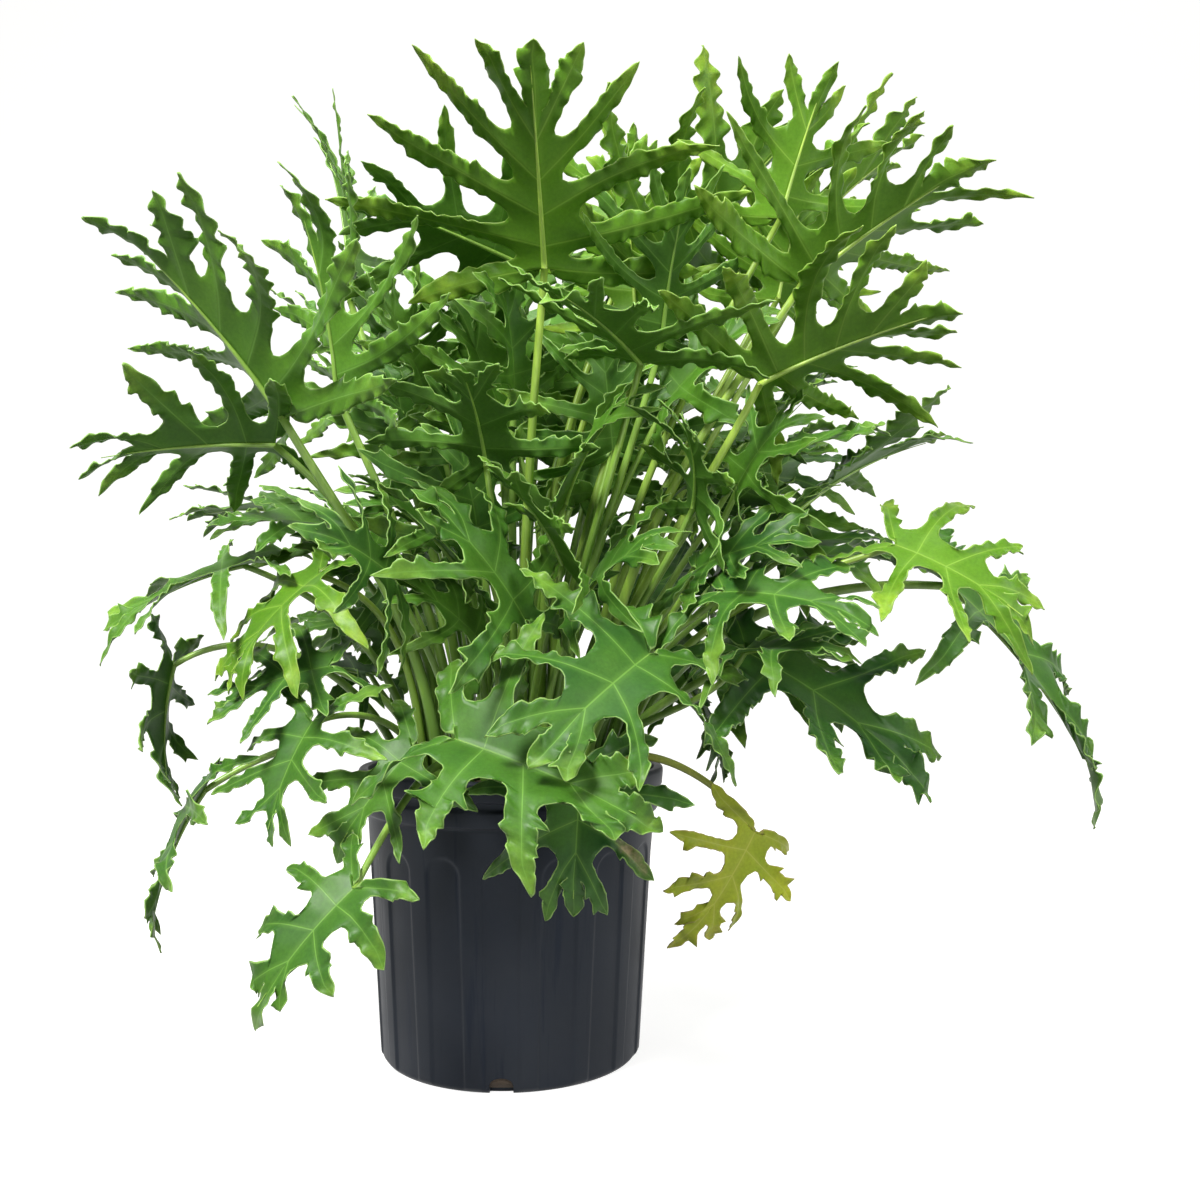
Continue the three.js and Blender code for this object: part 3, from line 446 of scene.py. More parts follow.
# the move that brings the lobe tips nearest to the CAD leaf's corners
def findPlacing(leaf, lobes, corners):
    tips = np.array([lobePoint(lobe, np.float64(1), 0, lobe["lift"] * lobe["length"]) for lobe in lobes])
    tips = shapeBlade(leaf, tips)
    at, to, face = (np.array(leaf[k], float) for k in ("at", "to", "face"))
    origins = at + moves[:, :1] * unit(at - np.array(leafForm["eye"]))
    axes = leafAxes(at, to, face) @ turns(*moves.T[1:4])
    lengths = leaf["size"] * moves[:, 4]
    far = origins[:, None] + np.einsum("mij,tj->mti", axes, tips) * lengths[:, None, None]
    gaps = np.linalg.norm(far[:, :, None] - corners, axis=-1).min(-1).mean(-1)
    best = gaps.argmin()
    return origins[best], axes[best], lengths[best], gaps[best]


# a lobe's half width at the share q: it swells to two thirds, then rounds off
def lobeProfile(q, power):
    return np.maximum(1 - q ** power, 0) ** 0.8 * (0.76 + 0.42 * q)


# one edge of a lobe, from its notch to the tip: its place along the lobe, its half width with teeth
# and scallops, and how far the ruffles lift it. A tooth swells slowly, ends sharply and leans ahead.
def lobeEdge(index, leaf, lobe, q, key, start, wide, length):
    phase = 3.14 * spread(index, key, 9)
    wave = leafForm["waveLength"] * (1 + 0.3 * spread(index, key, 10))
    arc = q * lobe["length"] * length
    width = lobe["width"] * leaf["full"]
    half = width * lobeProfile(q, leaf["blunt"] + spread(index, lobe["number"], 8))
    first, step, stray = leafForm["teeth"]
    before, past = leafForm["toothSpread"]
    teeth = 0
    for n in (0, 1, 2):
        where = first + step * n + stray * spread(index, key, 11 + n)
        height = leaf["tooth"] * max(spread(index, key, 17 + n), 0)
        spell = np.where(q < where, before, past)
        teeth = teeth + height * np.exp(-((q - where) / spell) ** 2) * ease(q, 0, 0.1)
    waves = leafForm["scallop"] * np.sin(8.8 * arc / wave + 1.7 * phase) * ease(q, 0.08, 0.25)
    x = np.clip(q / leafForm["sinus"], 0, 1)
    corner = 1 - np.sqrt(np.clip(1 - (1 - x) ** 2, 0, 1))
    half = half * (1 + teeth + waves) * (1 - ease(q, 0.985, 1)) + (wide - 0.76 * width) * corner
    ruffle = np.sin(6.283 * arc / wave + phase) + 0.7 * np.sin(6.283 * arc / (wave * 2.7) + 2 * phase)
    ruffle = ruffle * leafForm["waveHeight"] * width * ease(q, 0.03, 0.3) * (1 - 0.5 * ease(q, 0.8, 1))
    return start + (1 - start) * q + 0.5 * teeth * width / lobe["length"], half, ruffle


# one lobe as a grid: rows from the midrib out to the line between its notches, then on to its tip,
# and columns from its right edge to its left
def lobePatch(index, leaf, lobe, baseRight, baseLeft, notchRight, notchLeft, length):
    c, d = np.cos(lobe["angle"]), np.sin(lobe["angle"])
    number = lobe["number"]
    n = int(np.clip(lobe["length"] * length / leaf["rowStep"], *leafForm["rows"]))
    q = (1 - (1 - np.linspace(0, 1, n + 1)) ** 1.15)[:, None]
    edges = []
    for notch, key in ((notchRight, number + 300), (notchLeft, number)):
        du, dv = notch[0] - lobe["origin"], notch[1]
        start, wide = (c * du + d * dv) / lobe["length"], abs(c * dv - d * du)
        edges.append(lobeEdge(index, leaf, lobe, q, key, start, wide, length))
    swing = lobe["twist"] * np.sin(np.pi * np.minimum(q * 1.3, 1))
    col = columns[None, :]
    edgeS, half, ruffle = (np.where(col > 0, b, a) for a, b in zip(*edges))
    middle = (edges[0][0] + edges[1][0]) / 2
    s = middle + (edgeS - middle) * abs(col)
    # a shallow channel, with the blade swollen between the veins near the midrib
    channel = leafForm["channel"] * half * abs(col) ** 1.6 * ease(q, 0.05, 0.35)
    swell = leafForm["swell"] * np.sin(np.pi / 2 * col) ** 2 * (1 - ease(q, 0, 0.3))
    w = (lobe["lift"] * lobe["length"] * q * q + half * col * np.sin(swing) + channel + swell
         + ruffle * abs(col) ** 2.2)
    hook = leafForm["hook"] * spread(index, number, 16) * lobe["width"] * ease(q, 0.72, 1)
    free = lobePoint(lobe, s, half * col * np.cos(swing) + hook, w, 1 - (1 - q) ** 3)
    # the web: straight from the midrib to the first free row
    m = leafForm["webRows"]
    g = np.linspace(0, 1, m + 1)[:-1, None, None]
    centre = np.array([min(lobe["origin"], max(baseRight[0], baseLeft[0])), 0, 0])
    side = abs(col)[..., None]
    base = centre + (np.where((col > 0)[..., None], baseLeft, baseRight) - centre) * side
    web = base * (1 - g) + free[:1] * g
    grid = join([web, free])
    reach = join([np.zeros(m), q[:, 0]])[:, None] + 0 * col
    # distances in mm: to the lobe's vein, to the midrib and to the outline
    offset = abs(c * web[..., 1] - d * (web[..., 0] - lobe["origin"])) * length
    toVein = join([offset, abs(half * col) * length])
    beyond = np.maximum(np.maximum(grid[..., 0] - leafForm["veinEnd"], -grid[..., 0]), 0)
    toMidrib = np.hypot(grid[..., 1], beyond) * length
    toNotch = np.minimum(np.linalg.norm(web - free[0, 0], axis=-1),
                         np.linalg.norm(web - free[0, -1], axis=-1))
    ahead = np.minimum(half * (1 - abs(col)), (1 - q) * lobe["length"])
    toMargin = join([toNotch, ahead]) * length
    thick = 0.3 + 0.004 * length  # half width of the midrib's line, mm
    along = np.clip(1 - reach, 0.25, 1)
    # painted light, in part: the tips' lime is their own colour, raised on the young leaves by pale
    pale = leaf["pale"] + (1 - leaf["pale"]) * spread(index, number, 15)
    limeness = ease(reach + 0.2 * np.sin(2.1 * number + index), 0.4, 1.1) * pale
    dry = 0 * reach
    if leaf.get("dryLobe") == number:
        dry = ease(reach, 0.25, 0.4) * ease(1 - reach, 0.05, 0.15) * ease(col, -0.4, 0.1)
    return dict(
        points=grid.reshape(-1, 3), faces=gridFaces(len(grid), len(columns)),
        lobeVein=(toVein / (thick * 0.7 * along)).ravel(), midVein=(toMidrib / thick).ravel(),
        margin=toMargin.ravel(), lime=limeness.ravel(), dry=dry.ravel(),
        rib=(np.maximum(1 - np.minimum(toVein / 0.8, toMidrib), 0) * along).ravel())


# points that lie together become one, and faces that lose a side go
def weld(points, faces):
    spots, kept, number = np.unique(np.round(points, 6), axis=0, return_index=True, return_inverse=True)
    faces = number.reshape(-1)[faces]
    a, b, c = faces.T
    return kept, faces[(a != b) & (b != c) & (c != a)]


# the whole blade's middle surface in the leaf's own axes, in shares of its midrib
def bladeSheet(index, leaf, length):
    tip = tipLobe(index, leaf)
    collar = leaf["collar"] / leaf["size"]
    patches = []
    ends = {}
    for side in (1, -1):
        own = lobesOf(index, leaf, side)
        after = own[1:] + [tip]
        between = [(a["origin"] + b["origin"]) / 2 for a, b in zip(own, after)]
        spine = [np.array([u, 0.0, 0.0]) for u in [0.0] + between]
        # a notch lies halfway between two lobes' directions, the first beside the stalk
        notches = [np.array([-0.3 * collar, side * collar, 0.0])]
        for k, lobe in enumerate(own):
            angle = (lobe["angle"] + after[k]["angle"]) / 2
            far = leaf["notch"] * (1 + 0.25 * spread(index, k + 1 + 20 * side, 7))
            notches.append(spine[k + 1] + far * np.array([np.cos(angle), np.sin(angle), 0]))
        for k, lobe in enumerate(own):
            a, b = (k + 1, k) if side > 0 else (k, k + 1)
            patches.append(lobePatch(index, leaf, lobe, spine[a], spine[b], notches[a], notches[b], length))
        ends[side] = notches[-1]
    patches.append(lobePatch(index, leaf, tip, spine[-1], spine[-1], ends[-1], ends[1], length))
    starts = np.cumsum([0] + [len(p["points"]) for p in patches])
    faces = join([p["faces"] + start for p, start in zip(patches, starts)])
    sheet = {key: join([p[key] for p in patches]) for key in patches[0] if key != "faces"}
    kept, faces = weld(sheet["points"], faces)
    return {key: values[kept] for key, values in sheet.items()}, faces


# a slab from a sheet: two faces half the thickness off along the points' normals, each the sum of its
# faces' cross products; veins stand out below, and a rim closes the outline
def slab(points, faces, rib):
    a, b, c = (points[faces[:, k]] for k in range(3))
    across = np.cross(b - a, c - a)
    normals = np.zeros_like(points)
    for k in range(3):
        np.add.at(normals, faces[:, k], across)
    normals = unit(normals)
    half = leafForm["thickness"] / 2
    top = points + normals * (half + 0.25 * leafForm["rib"] * rib)[:, None]
    bottom = points - normals * (half + leafForm["rib"] * rib)[:, None]
    n = len(points)
    edges = join([faces[:, [0, 1]], faces[:, [1, 2]], faces[:, [2, 0]]])
    rim = edges[~np.isin(edges[:, 0] * n + edges[:, 1], edges[:, 1] * n + edges[:, 0])]
    a, b = rim[:, 0], rim[:, 1]
    sides = join([stacked(b, a, a + n), stacked(b, a + n, b + n)])
    return (join([top, bottom]), join([faces, faces[:, ::-1] + n, sides]),
            join([np.zeros(len(faces)), np.ones(len(faces)), np.zeros(len(sides))]))


# a closed tube: rings round a path, with radius x (1 - groove) on the side that reference faces
def tube(path, radius, reference, sides, groove=0.0):
    ahead = unit(np.gradient(path, axis=0))
    side = unit(np.cross(ahead, reference))
    other = np.cross(side, ahead)
    turn = np.linspace(0, 2 * np.pi, sides, endpoint=False)
    dip = 1 - groove * np.exp(-((turn - np.pi / 2) / 0.45) ** 2)
    ring = (side[:, None] * np.cos(turn)[None, :, None] + other[:, None] * np.sin(turn)[None, :, None])
    points = (path[:, None] + ring * (radius[:, None] * dip)[..., None]).reshape(-1, 3)
    faces = gridFaces(len(path), sides, wrapped=True)[:, ::-1]
    k = np.arange(1, sides - 1)
    last = (len(path) - 1) * sides
    start = stacked(0 * k, k, k + 1)
    end = stacked(0 * k + last, last + k + 1, last + k)
    return points, join([faces, start, end])


stalkForm = dict(
    rows=30, sides=14,
    foot=8.0,  # how deep below the soil's top it starts, mm
    pull=0.4,  # of the cubic's inner points from its ends, over their distance
    taper=(1.2, 0.5),  # radius at the foot and its loss up to the blade, over the petiole's
    groove=0.16,  # depth of the groove on its upper side, over the radius
    ribRows=18, ribSides=8, ribSpan=(-0.01, 0.93), ribTaper=(0.5, 0.07),  # the midrib's tube
    ribDrop=0.72,  # how far it stands below the blade, over its radius
)


# the stalk's line: out of the soil, then one cubic to the blade that arrives at the leaf's slope
def stalkPath(leaf, root, end):
    start = np.array([root[0], root[1], leafForm["soilTop"] + leafForm["stub"]])
    flat = (end - start) * np.array([1, 1, 0])
    run = np.linalg.norm(flat)
    out, up = unit(flat), np.array([0, 0, 1.0])
    reach = np.linalg.norm(end - start)
    leave = unit(out * 0.3 * run / (abs(end[2] - start[2]) + 120) + up)
    slope = np.radians(leaf["arrive"])
    arrive = out * np.cos(slope) + up * np.sin(slope)
    t = np.linspace(0, 1, stalkForm["rows"])[:, None]
    second, third = start + leave * stalkForm["pull"] * reach, end - arrive * stalkForm["pull"] * reach
    curve = start * (1 - t) ** 3 + 3 * second * t * (1 - t) ** 2
    curve = curve + 3 * third * t * t * (1 - t) + end * t ** 3
    foot = start - up * (leafForm["stub"] + stalkForm["foot"])
    return join([[foot], curve]), np.cross(out, up)


# the leaf of a CAD node: its placing and its root are read off the node
def makeLeaf(index, name, leaf):
    node = "leaf_" + name
    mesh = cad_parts[node].data
    corners = np.zeros(len(mesh.vertices) * 3)
    mesh.vertices.foreach_get("co", corners)
    corners = np.unique(np.round(corners.reshape(-1, 3) * 1000, 2), axis=0)
    lobes = lobesOf(index, leaf, 1) + lobesOf(index, leaf, -1) + [tipLobe(index, leaf)]
    origin, axes, length, gap = findPlacing(leaf, lobes, corners)
    atFoot = abs(corners[:, 2] - (leafForm["soilTop"] - leafForm["rootDepth"])) < 0.1
    inPot = np.hypot(corners[:, 0], corners[:, 1]) < leafForm["rootReach"] + 8
    root = corners[atFoot & inPot][:, :2].mean(0)
    sheet, faces = bladeSheet(index, leaf, length)
    piece, count = growLeaf(index, name, leaf, sheet, faces, origin, axes, length, root)
    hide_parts(node)
    return count, gap


# a blade at its place with its stalk, as one mesh; the higher a leaf stands, the fresher its green, partly
# the younger leaves' own colour and partly painted shade on the lower ones
def growLeaf(index, name, leaf, sheet, faces, origin, axes, length, root):
    form = stalkForm
    points = origin + shapeBlade(leaf, sheet["points"]) @ axes.T * length
    blade, bladeFaces, slots = slab(points, faces, sheet["rib"])
    # the stalk, and the midrib that runs on from it along the underside
    path, reference = stalkPath(leaf, root, origin - axes[:, 2] * 0.3 * leaf["petiole"])
    share = np.linspace(0, 1, len(path))
    stemRadius = leaf["petiole"] * (form["taper"][0] - form["taper"][1] * share)
    stem, stemFaces = tube(path, stemRadius, reference, form["sides"], form["groove"])
    u = np.linspace(*form["ribSpan"], form["ribRows"])
    ribRadius = leaf["petiole"] * (form["ribTaper"][0] * (1 - u) ** 1.3 + form["ribTaper"][1])
    midrib = shapeBlade(leaf, stacked(u, 0 * u, 0 * u))
    midrib = origin + midrib @ axes.T * length - axes[:, 2] * (ribRadius * form["ribDrop"])[:, None]
    rib, ribFaces = tube(midrib, ribRadius, axes[:, 1], form["ribSides"])
    allPoints = join([blade, stem, rib])
    allFaces = join([bladeFaces, stemFaces + len(blade), ribFaces + len(blade) + len(stem)])
    slots = join([slots, np.full(len(stemFaces) + len(ribFaces), 2)])
    attributes = {key: join([sheet[key], sheet[key], np.zeros(len(stem) + len(rib))])
                  for key in ("lobeVein", "midVein", "margin", "lime", "dry")}
    climb = np.repeat(share, form["sides"])
    attributes["climb"] = join([np.zeros(len(blade)), climb, np.ones(len(rib))])
    # painted shade, in part: lower leaves get more of the Deep green
    height = (origin[2] - 250) / 500
    attributes["freshAndLit"] = np.full(len(allPoints), 0.3 + 0.5 * height + 0.2 * spread(index, 50, 1))
    tone = leaf["tone"]
    materials = [bladeUpper[tone], bladeUnder[tone], stalk[tone]]
    piece = makePiece(name + "_leaf", allPoints, allFaces, materials, slots, attributes)
    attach(piece, "root")
    filled.update(cellsOf(allPoints))
    return piece, len(allFaces)


filled = set()  # the lattice cells that hold a point of some leaf
latticeCell = 6.0


# the cells that hold a point, each as one number
def cellsOf(points):
    cells = np.floor(points / latticeCell).astype(int) + 500
    return set(np.unique(cells @ np.array([1000000, 1000, 1])).tolist())


# Small leaves in the crown's dark middle, and some between the topmost ones: each takes, of a few
# drawn places, the one that shares the fewest cells with the leaves that stand already. Above the
# height in slope they stand further back and less far right, by those shares of what they are higher.
innerRule = dict(
    count=32, tries=24, seed=5,
    across=(-130, 250), depth=(-100, 90), height=(310, 590), slope=(400, 0.45, 0.8),
    length=(80, 130), breadth=0.07,
    middle=(35, -10, 270), stray=60,  # they point away from here, give or take the stray, mm
    flatten=(1, 1, 0.5), lean=(0, -0.35, 0.1),
    faceAcross=(-1, 1), faceAhead=(-3, -1), faceUp=2.6,
    focus=150,  # how fast the stalks draw together downwards, mm
    rootStray=8, rootMargin=6,
    crowdedRows=8,  # of the stalk near the soil, where cells aren't counted
    stalkWeight=3,  # of a cell shared with the stalk
    form=dict(pairs=4, back=116, tooth=0.8, blunt=3.4, rowStep=3.8),
)
crownRule = dict(
    innerRule, count=6, seed=70, across=(70, 250), depth=(-40, 90), height=(600, 690),
    slope=(900, 0, 0), length=(105, 130), breadth=0.064, middle=(150, 0, 300), stray=50,
    flatten=(1, 1, 1), lean=(0.1, 0, 0.3), faceAhead=(1, 3), faceUp=1.5,
    # pale: their lime tips are partly painted light, as on the other young leaves
    form=dict(pairs=4, back=104, tooth=0.55, blunt=2.9, rowStep=3.8, tone="young", pale=0.7),
)


# the length is drawn once, then a place, a direction, a face and a root for each try
def innerLeaf(index, name, rule):
    draw = np.random.default_rng(rule["seed"] + index)
    length = draw.uniform(*rule["length"])
    best = None
    for _ in range(rule["tries"]):
        at = np.array([draw.uniform(*rule[key]) for key in ("across", "depth", "height")])
        above = max(at[2] - rule["slope"][0], 0)
        at[1] += rule["slope"][1] * above
        at[0] = min(at[0], rule["across"][1] - rule["slope"][2] * above)
        out = unit(at - np.array(rule["middle"]) + draw.uniform(-rule["stray"], rule["stray"], 3))
        to = at + length * unit(out * np.array(rule["flatten"]) + np.array(rule["lean"]))
        face = np.array([draw.uniform(*rule["faceAcross"]), draw.uniform(*rule["faceAhead"]),
                         rule["faceUp"]])
        leaf = finishLeaf(placed(at, to, face, 60, rule["breadth"]))
        leaf.update(rule["form"])
        if best is None:
            sheet, faces = bladeSheet(index, leaf, length)
        axes = leafAxes(at, to, face)
        share = rule["focus"] / (rule["focus"] + at[2] - leafForm["soilTop"])
        root = at[:2] * share + draw.uniform(-rule["rootStray"], rule["rootStray"], 2)
        root = root * min(1, (leafForm["rootReach"] - rule["rootMargin"]) / np.linalg.norm(root))
        points = at + shapeBlade(leaf, sheet["points"]) @ axes.T * length
        path = stalkPath(leaf, root, at)[0][rule["crowdedRows"]:]
        shared = len(cellsOf(points) & filled) + rule["stalkWeight"] * len(cellsOf(path) & filled)
        if best is None or shared < best[0]:
            best = (shared, leaf, at, axes, root)
    shared, leaf, at, axes, root = best
    return shared, growLeaf(index, name, leaf, sheet, faces, at, axes, length, root)[1]


total, worst, shared = 0, 0, 0
for index, (name, row) in enumerate({**leafTable, **farLeaves()}.items()):
    count, gap = makeLeaf(index, name, finishLeaf(row))
    total, worst = total + count, max(worst, gap)
print("leaves made:", index + 1, "triangles", total, "worst placing gap", round(worst, 2), "mm")
for group, rule in (("inner", innerRule), ("crown", crownRule)):
    for k in range(rule["count"]):
        index += 1
        cells, count = innerLeaf(index, group + "_%02d" % (k + 1), rule)
        total, shared = total + count, shared + cells
    print(group, "leaves made:", rule["count"], "triangles in all", total, "shared cells", shared)


# pot: a profile turned about the axis, with arch-topped panels pressed in and drains left open

potForm = dict(
    height=235.0, rimHeight=16.0, rimRadius=127.0, shoulderRadius=119.0, footRadius=107.0,
    bandTop=212.0, bandHeight=13.0, wall=2.2, floor=3.0,
    panels=16, panelHalf=14.0, panelTop=176.0, panelDepth=1.5,
    drains=4, drainHeight=12.0, drainCorner=5.8,
    drainSpan=8,  # columns on each side of a drain's middle
    bevel=1.3, sharpAngle=50,
    columnsPerPanel=36,
    archRows=(156, 181, 1.4),  # from, to and step of the close rows at the panels' arches
)


# the tapered body's radius at a height, outside and inside the wall
def bodyRadius(z):
    foot, shoulder = potForm["footRadius"], potForm["shoulderRadius"]
    rise = (shoulder - foot) / (potForm["bandTop"] - potForm["bandHeight"])
    return foot + rise * z


def innerRadius(z):
    return bodyRadius(z) - potForm["wall"]


# an outline with each corner cut by three points of the parabola that the corner guides
def softened(outline, radius):
    outline = np.array(outline, float)
    before, corner, after = outline[:-2], outline[1:-1], outline[2:]
    back = np.minimum(np.linalg.norm(before - corner, axis=1) * 0.45, radius)[:, None]
    on = np.minimum(np.linalg.norm(after - corner, axis=1) * 0.45, radius)[:, None]
    a, b = corner + unit(before - corner) * back, corner + unit(after - corner) * on
    t = np.array([0, 0.5, 1.0])[None, :, None]
    curve = a[:, None] * (1 - t) ** 2 + 2 * corner[:, None] * t * (1 - t) + b[:, None] * t * t
    return join([outline[:1], curve.reshape(-1, 2), outline[-1:]])


# near-black plastic with a cloudy gloss, a bluish tint in its colour that is a painted sheen, a fine grain
# and dust in upright streaks
def potMaterial():
    material, tree = newMaterial("potPlastic")
    streak = noise(tree, 70, 4, 0.6, (1, 1, 0.03))
    cloud = noise(tree, 9, 4, 0.6)
    grain = noise(tree, 900, 2, 0.5)
    # painted sheen: both near-blacks are tinted blue, the cloud choosing between them, in place of the
    # bluish reflection across the pot
    colour = mixColour(tree, cloud, (0.004, 0.006, 0.014, 1), (0.008, 0.010, 0.016, 1))
    dust = times(tree, below(tree, streak, 0.42, 0.3), times(tree, cloud, 0.35))
    colour = mixColour(tree, dust, colour, (0.07, 0.074, 0.075, 1))
    rough = maths(tree, "ADD", times(tree, cloud, 0.2), 0.32)
    height = maths(tree, "ADD", times(tree, grain, 0.35), streak)
    finishMaterial(tree, {"Base Color": colour, "Specular IOR Level": 0.2,
                          "Specular Tint": (0.74, 0.86, 1.0, 1),
                          "Roughness": maths(tree, "ADD", rough, times(tree, dust, 0.5))},
                   (height, 0.25, 0.0005))
    return material


# the profile runs from the floor's middle out, up the wall, over the rim and back down inside
def makePot():
    form = potForm
    rimBottom = form["height"] - form["rimHeight"]
    shoulder = form["bandTop"] - form["bandHeight"]
    r, lip = form["shoulderRadius"], form["rimRadius"]
    # six rows below the drain's top, the same number inside and out
    lower = [(99, 0), (102.4, 0), (103.8, 0.4), (106.5, 3.2), (107.2, 4.8),
             (bodyRadius(form["drainHeight"]), form["drainHeight"])]
    floor = form["floor"]
    inner = [(99, floor), (100.8, floor), (102.3, floor + 0.4), (104.6, floor + 2.8), (105.1, floor + 4.6),
             (innerRadius(form["drainHeight"]), form["drainHeight"])]
    archZ = np.arange(*form["archRows"])
    wallZ = join([[13.5, 15, 17.5, 22], np.linspace(34, 150, 11), archZ, [186, 193]])
    upper = softened([
        (bodyRadius(196), 196), (r, shoulder), (r + 3, shoulder + 1), (r + 4.5, form["bandTop"]),
        (r + 2.5, form["bandTop"] + 1.5), (r + 3, rimBottom), (lip - 1, rimBottom + 1),
        (lip, form["height"] - 2), (lip - 1.5, form["height"]), (innerRadius(234) + 0.4, form["height"]),
        (innerRadius(230), 230), (innerRadius(150), 150)], form["bevel"])
    outside = [(0, 0), (60, 0)] + lower + [(bodyRadius(z), z) for z in wallZ]
    within = [(innerRadius(60), 60)] + inner[::-1] + [(60, floor), (0, floor)]
    profile = np.array(outside + list(map(tuple, upper)) + within)
    count = form["panels"] * form["columnsPerPanel"]
    turn = np.linspace(0, 2 * np.pi, count, endpoint=False) - np.pi / 2
    radius, z = profile[:, :1] + 0 * turn, profile[:, 1:] + 0 * turn
    # a drain's top is half an ellipse between its two corners
    span, first, last = form["drainSpan"], 2, len(profile) - 3
    arch = np.arange(-span, span + 1)
    low, high = form["drainCorner"], form["drainHeight"]
    height = low + (high - low) * np.sqrt(1 - (arch / span) ** 2)
    # its cells are left out of the wall's two skins, and its reveals join them
    cut = np.zeros((len(profile) - 1, count), bool)
    reveals = []
    up = [0, 1, 2, 3, 4, 5]
    for k in range(form["drains"]):
        along = (k * count // form["drains"] + arch) % count
        z[first + 5, along] = z[last - 5, along] = height
        radius[first + 5, along] = bodyRadius(height)
        radius[last - 5, along] = innerRadius(height)
        cut[first:first + 5, along[:-1]] = cut[last - 5:last, along[:-1]] = True
        loop = ([(i, along[0]) for i in up] + [(5, j) for j in along] + [(i, along[-1]) for i in up[::-1]]
                + [(0, j) for j in along[::-1]])
        rows, cols = np.array(loop).T
        a, b = (first + rows) * count + cols, (last - rows) * count + cols
        a2, b2 = np.roll(a, -1), np.roll(b, -1)
        reveals += [stacked(a, b, b2), stacked(a, b2, a2)]
    # the panels: how far a point is inside the arch's outline, eased over its edge
    pitch = 2 * np.pi / form["panels"]
    offset = (turn + np.pi / 2 + pitch / 2) % pitch - pitch / 2
    x = abs(radius * np.sin(offset))
    spring = form["panelTop"] - form["panelHalf"]
    beyond = np.where(z > spring, np.hypot(x, z - spring), x) - form["panelHalf"]
    outer = (np.arange(len(profile)) < len(outside))[:, None]
    pressed = form["panelDepth"] * (1 - ease(beyond, -1.1, 1.1)) * ease(z, 1, 6) * outer
    across = radius - pressed
    points = stacked(across * np.cos(turn), across * np.sin(turn), z + 0 * across).reshape(-1, 3)
    faces = gridFaces(len(profile), count, wrapped=True)[:, ::-1]
    faces = faces[np.tile(~cut.ravel(), 2)]
    kept, faces = weld(points, join([faces] + reveals))
    pot = makePiece("nursery_pot", points[kept], faces, [potMaterial()])
    pot.data.set_sharp_from_angle(angle=np.radians(form["sharpAngle"]))
    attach(pot, "root")
    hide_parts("pot")


makePot()
print("pot made")


# potting mix: a lumpy crowned top on a turned block, with loose bits of bark on it

soilForm = dict(
    top=leafForm["soilTop"], crown=10.0, gap=0.4, edge=8.0, chamfer=3.5,
    lump=2.2, lumps=((23, 0.5), (9, 0.6), (4.2, 0.45)),  # height, then sizes with their shares
    topRings=60, sideRings=7, around=180, seed=11,
    bits=900, bitSize=(1.6, 6.5), bitShape=(1.5, 0.9, 0.5), uneven=(0.75, 1.25), tilt=30, rise=0.12,
)


# smooth noise from -1 to 1: random values at the corners of a square lattice, eased between them
def lumps(x, y, size, seed):
    table = np.random.default_rng(seed).uniform(-1, 1, (64, 64))
    x, y = x / size + 32, y / size + 32
    i, j = np.floor(x).astype(int), np.floor(y).astype(int)
    f, g = ease(x - i, 0, 1), ease(y - j, 0, 1)
    a, b, c, d = (table[(i + right) % 64, (j + up) % 64] for up in (0, 1) for right in (0, 1))
    return (a * (1 - f) + b * f) * (1 - g) + (c * (1 - f) + d * f) * g


# the top: a low cone with three sizes of lumps, which flatten towards the wall
def soilHeight(x, y):
    form = soilForm
    edge = innerRadius(form["top"])
    r = np.hypot(x, y)
    rough = sum(lumps(x, y, size, form["seed"] + n) * share
                for n, (size, share) in enumerate(form["lumps"]))
    level = 1 - 0.7 * ease(r, edge - form["edge"], edge)
    return form["top"] + form["crown"] * (1 - r / edge) + form["lump"] * rough * level


# dark and light patches of the given scale, with pale flecks seven times finer
def soilMaterial(name, dark, light, scale):
    material, tree = newMaterial(name)
    coarse, fine = noise(tree, scale, 5, 0.65), noise(tree, scale * 7, 4, 0.7)
    colour = mixColour(tree, below(tree, coarse, 0.65, 0.35), (*dark, 1), (*light, 1))
    fleck = times(tree, below(tree, fine, 0.34, 0.26), 0.5)
    colour = mixColour(tree, fleck, colour, (0.16, 0.11, 0.07, 1))
    rough = maths(tree, "ADD", times(tree, coarse, 0.2), 0.75)
    finishMaterial(tree, {"Base Color": colour, "Roughness": rough},
                   (maths(tree, "ADD", coarse, fine), 0.8, 0.0015))
    return material


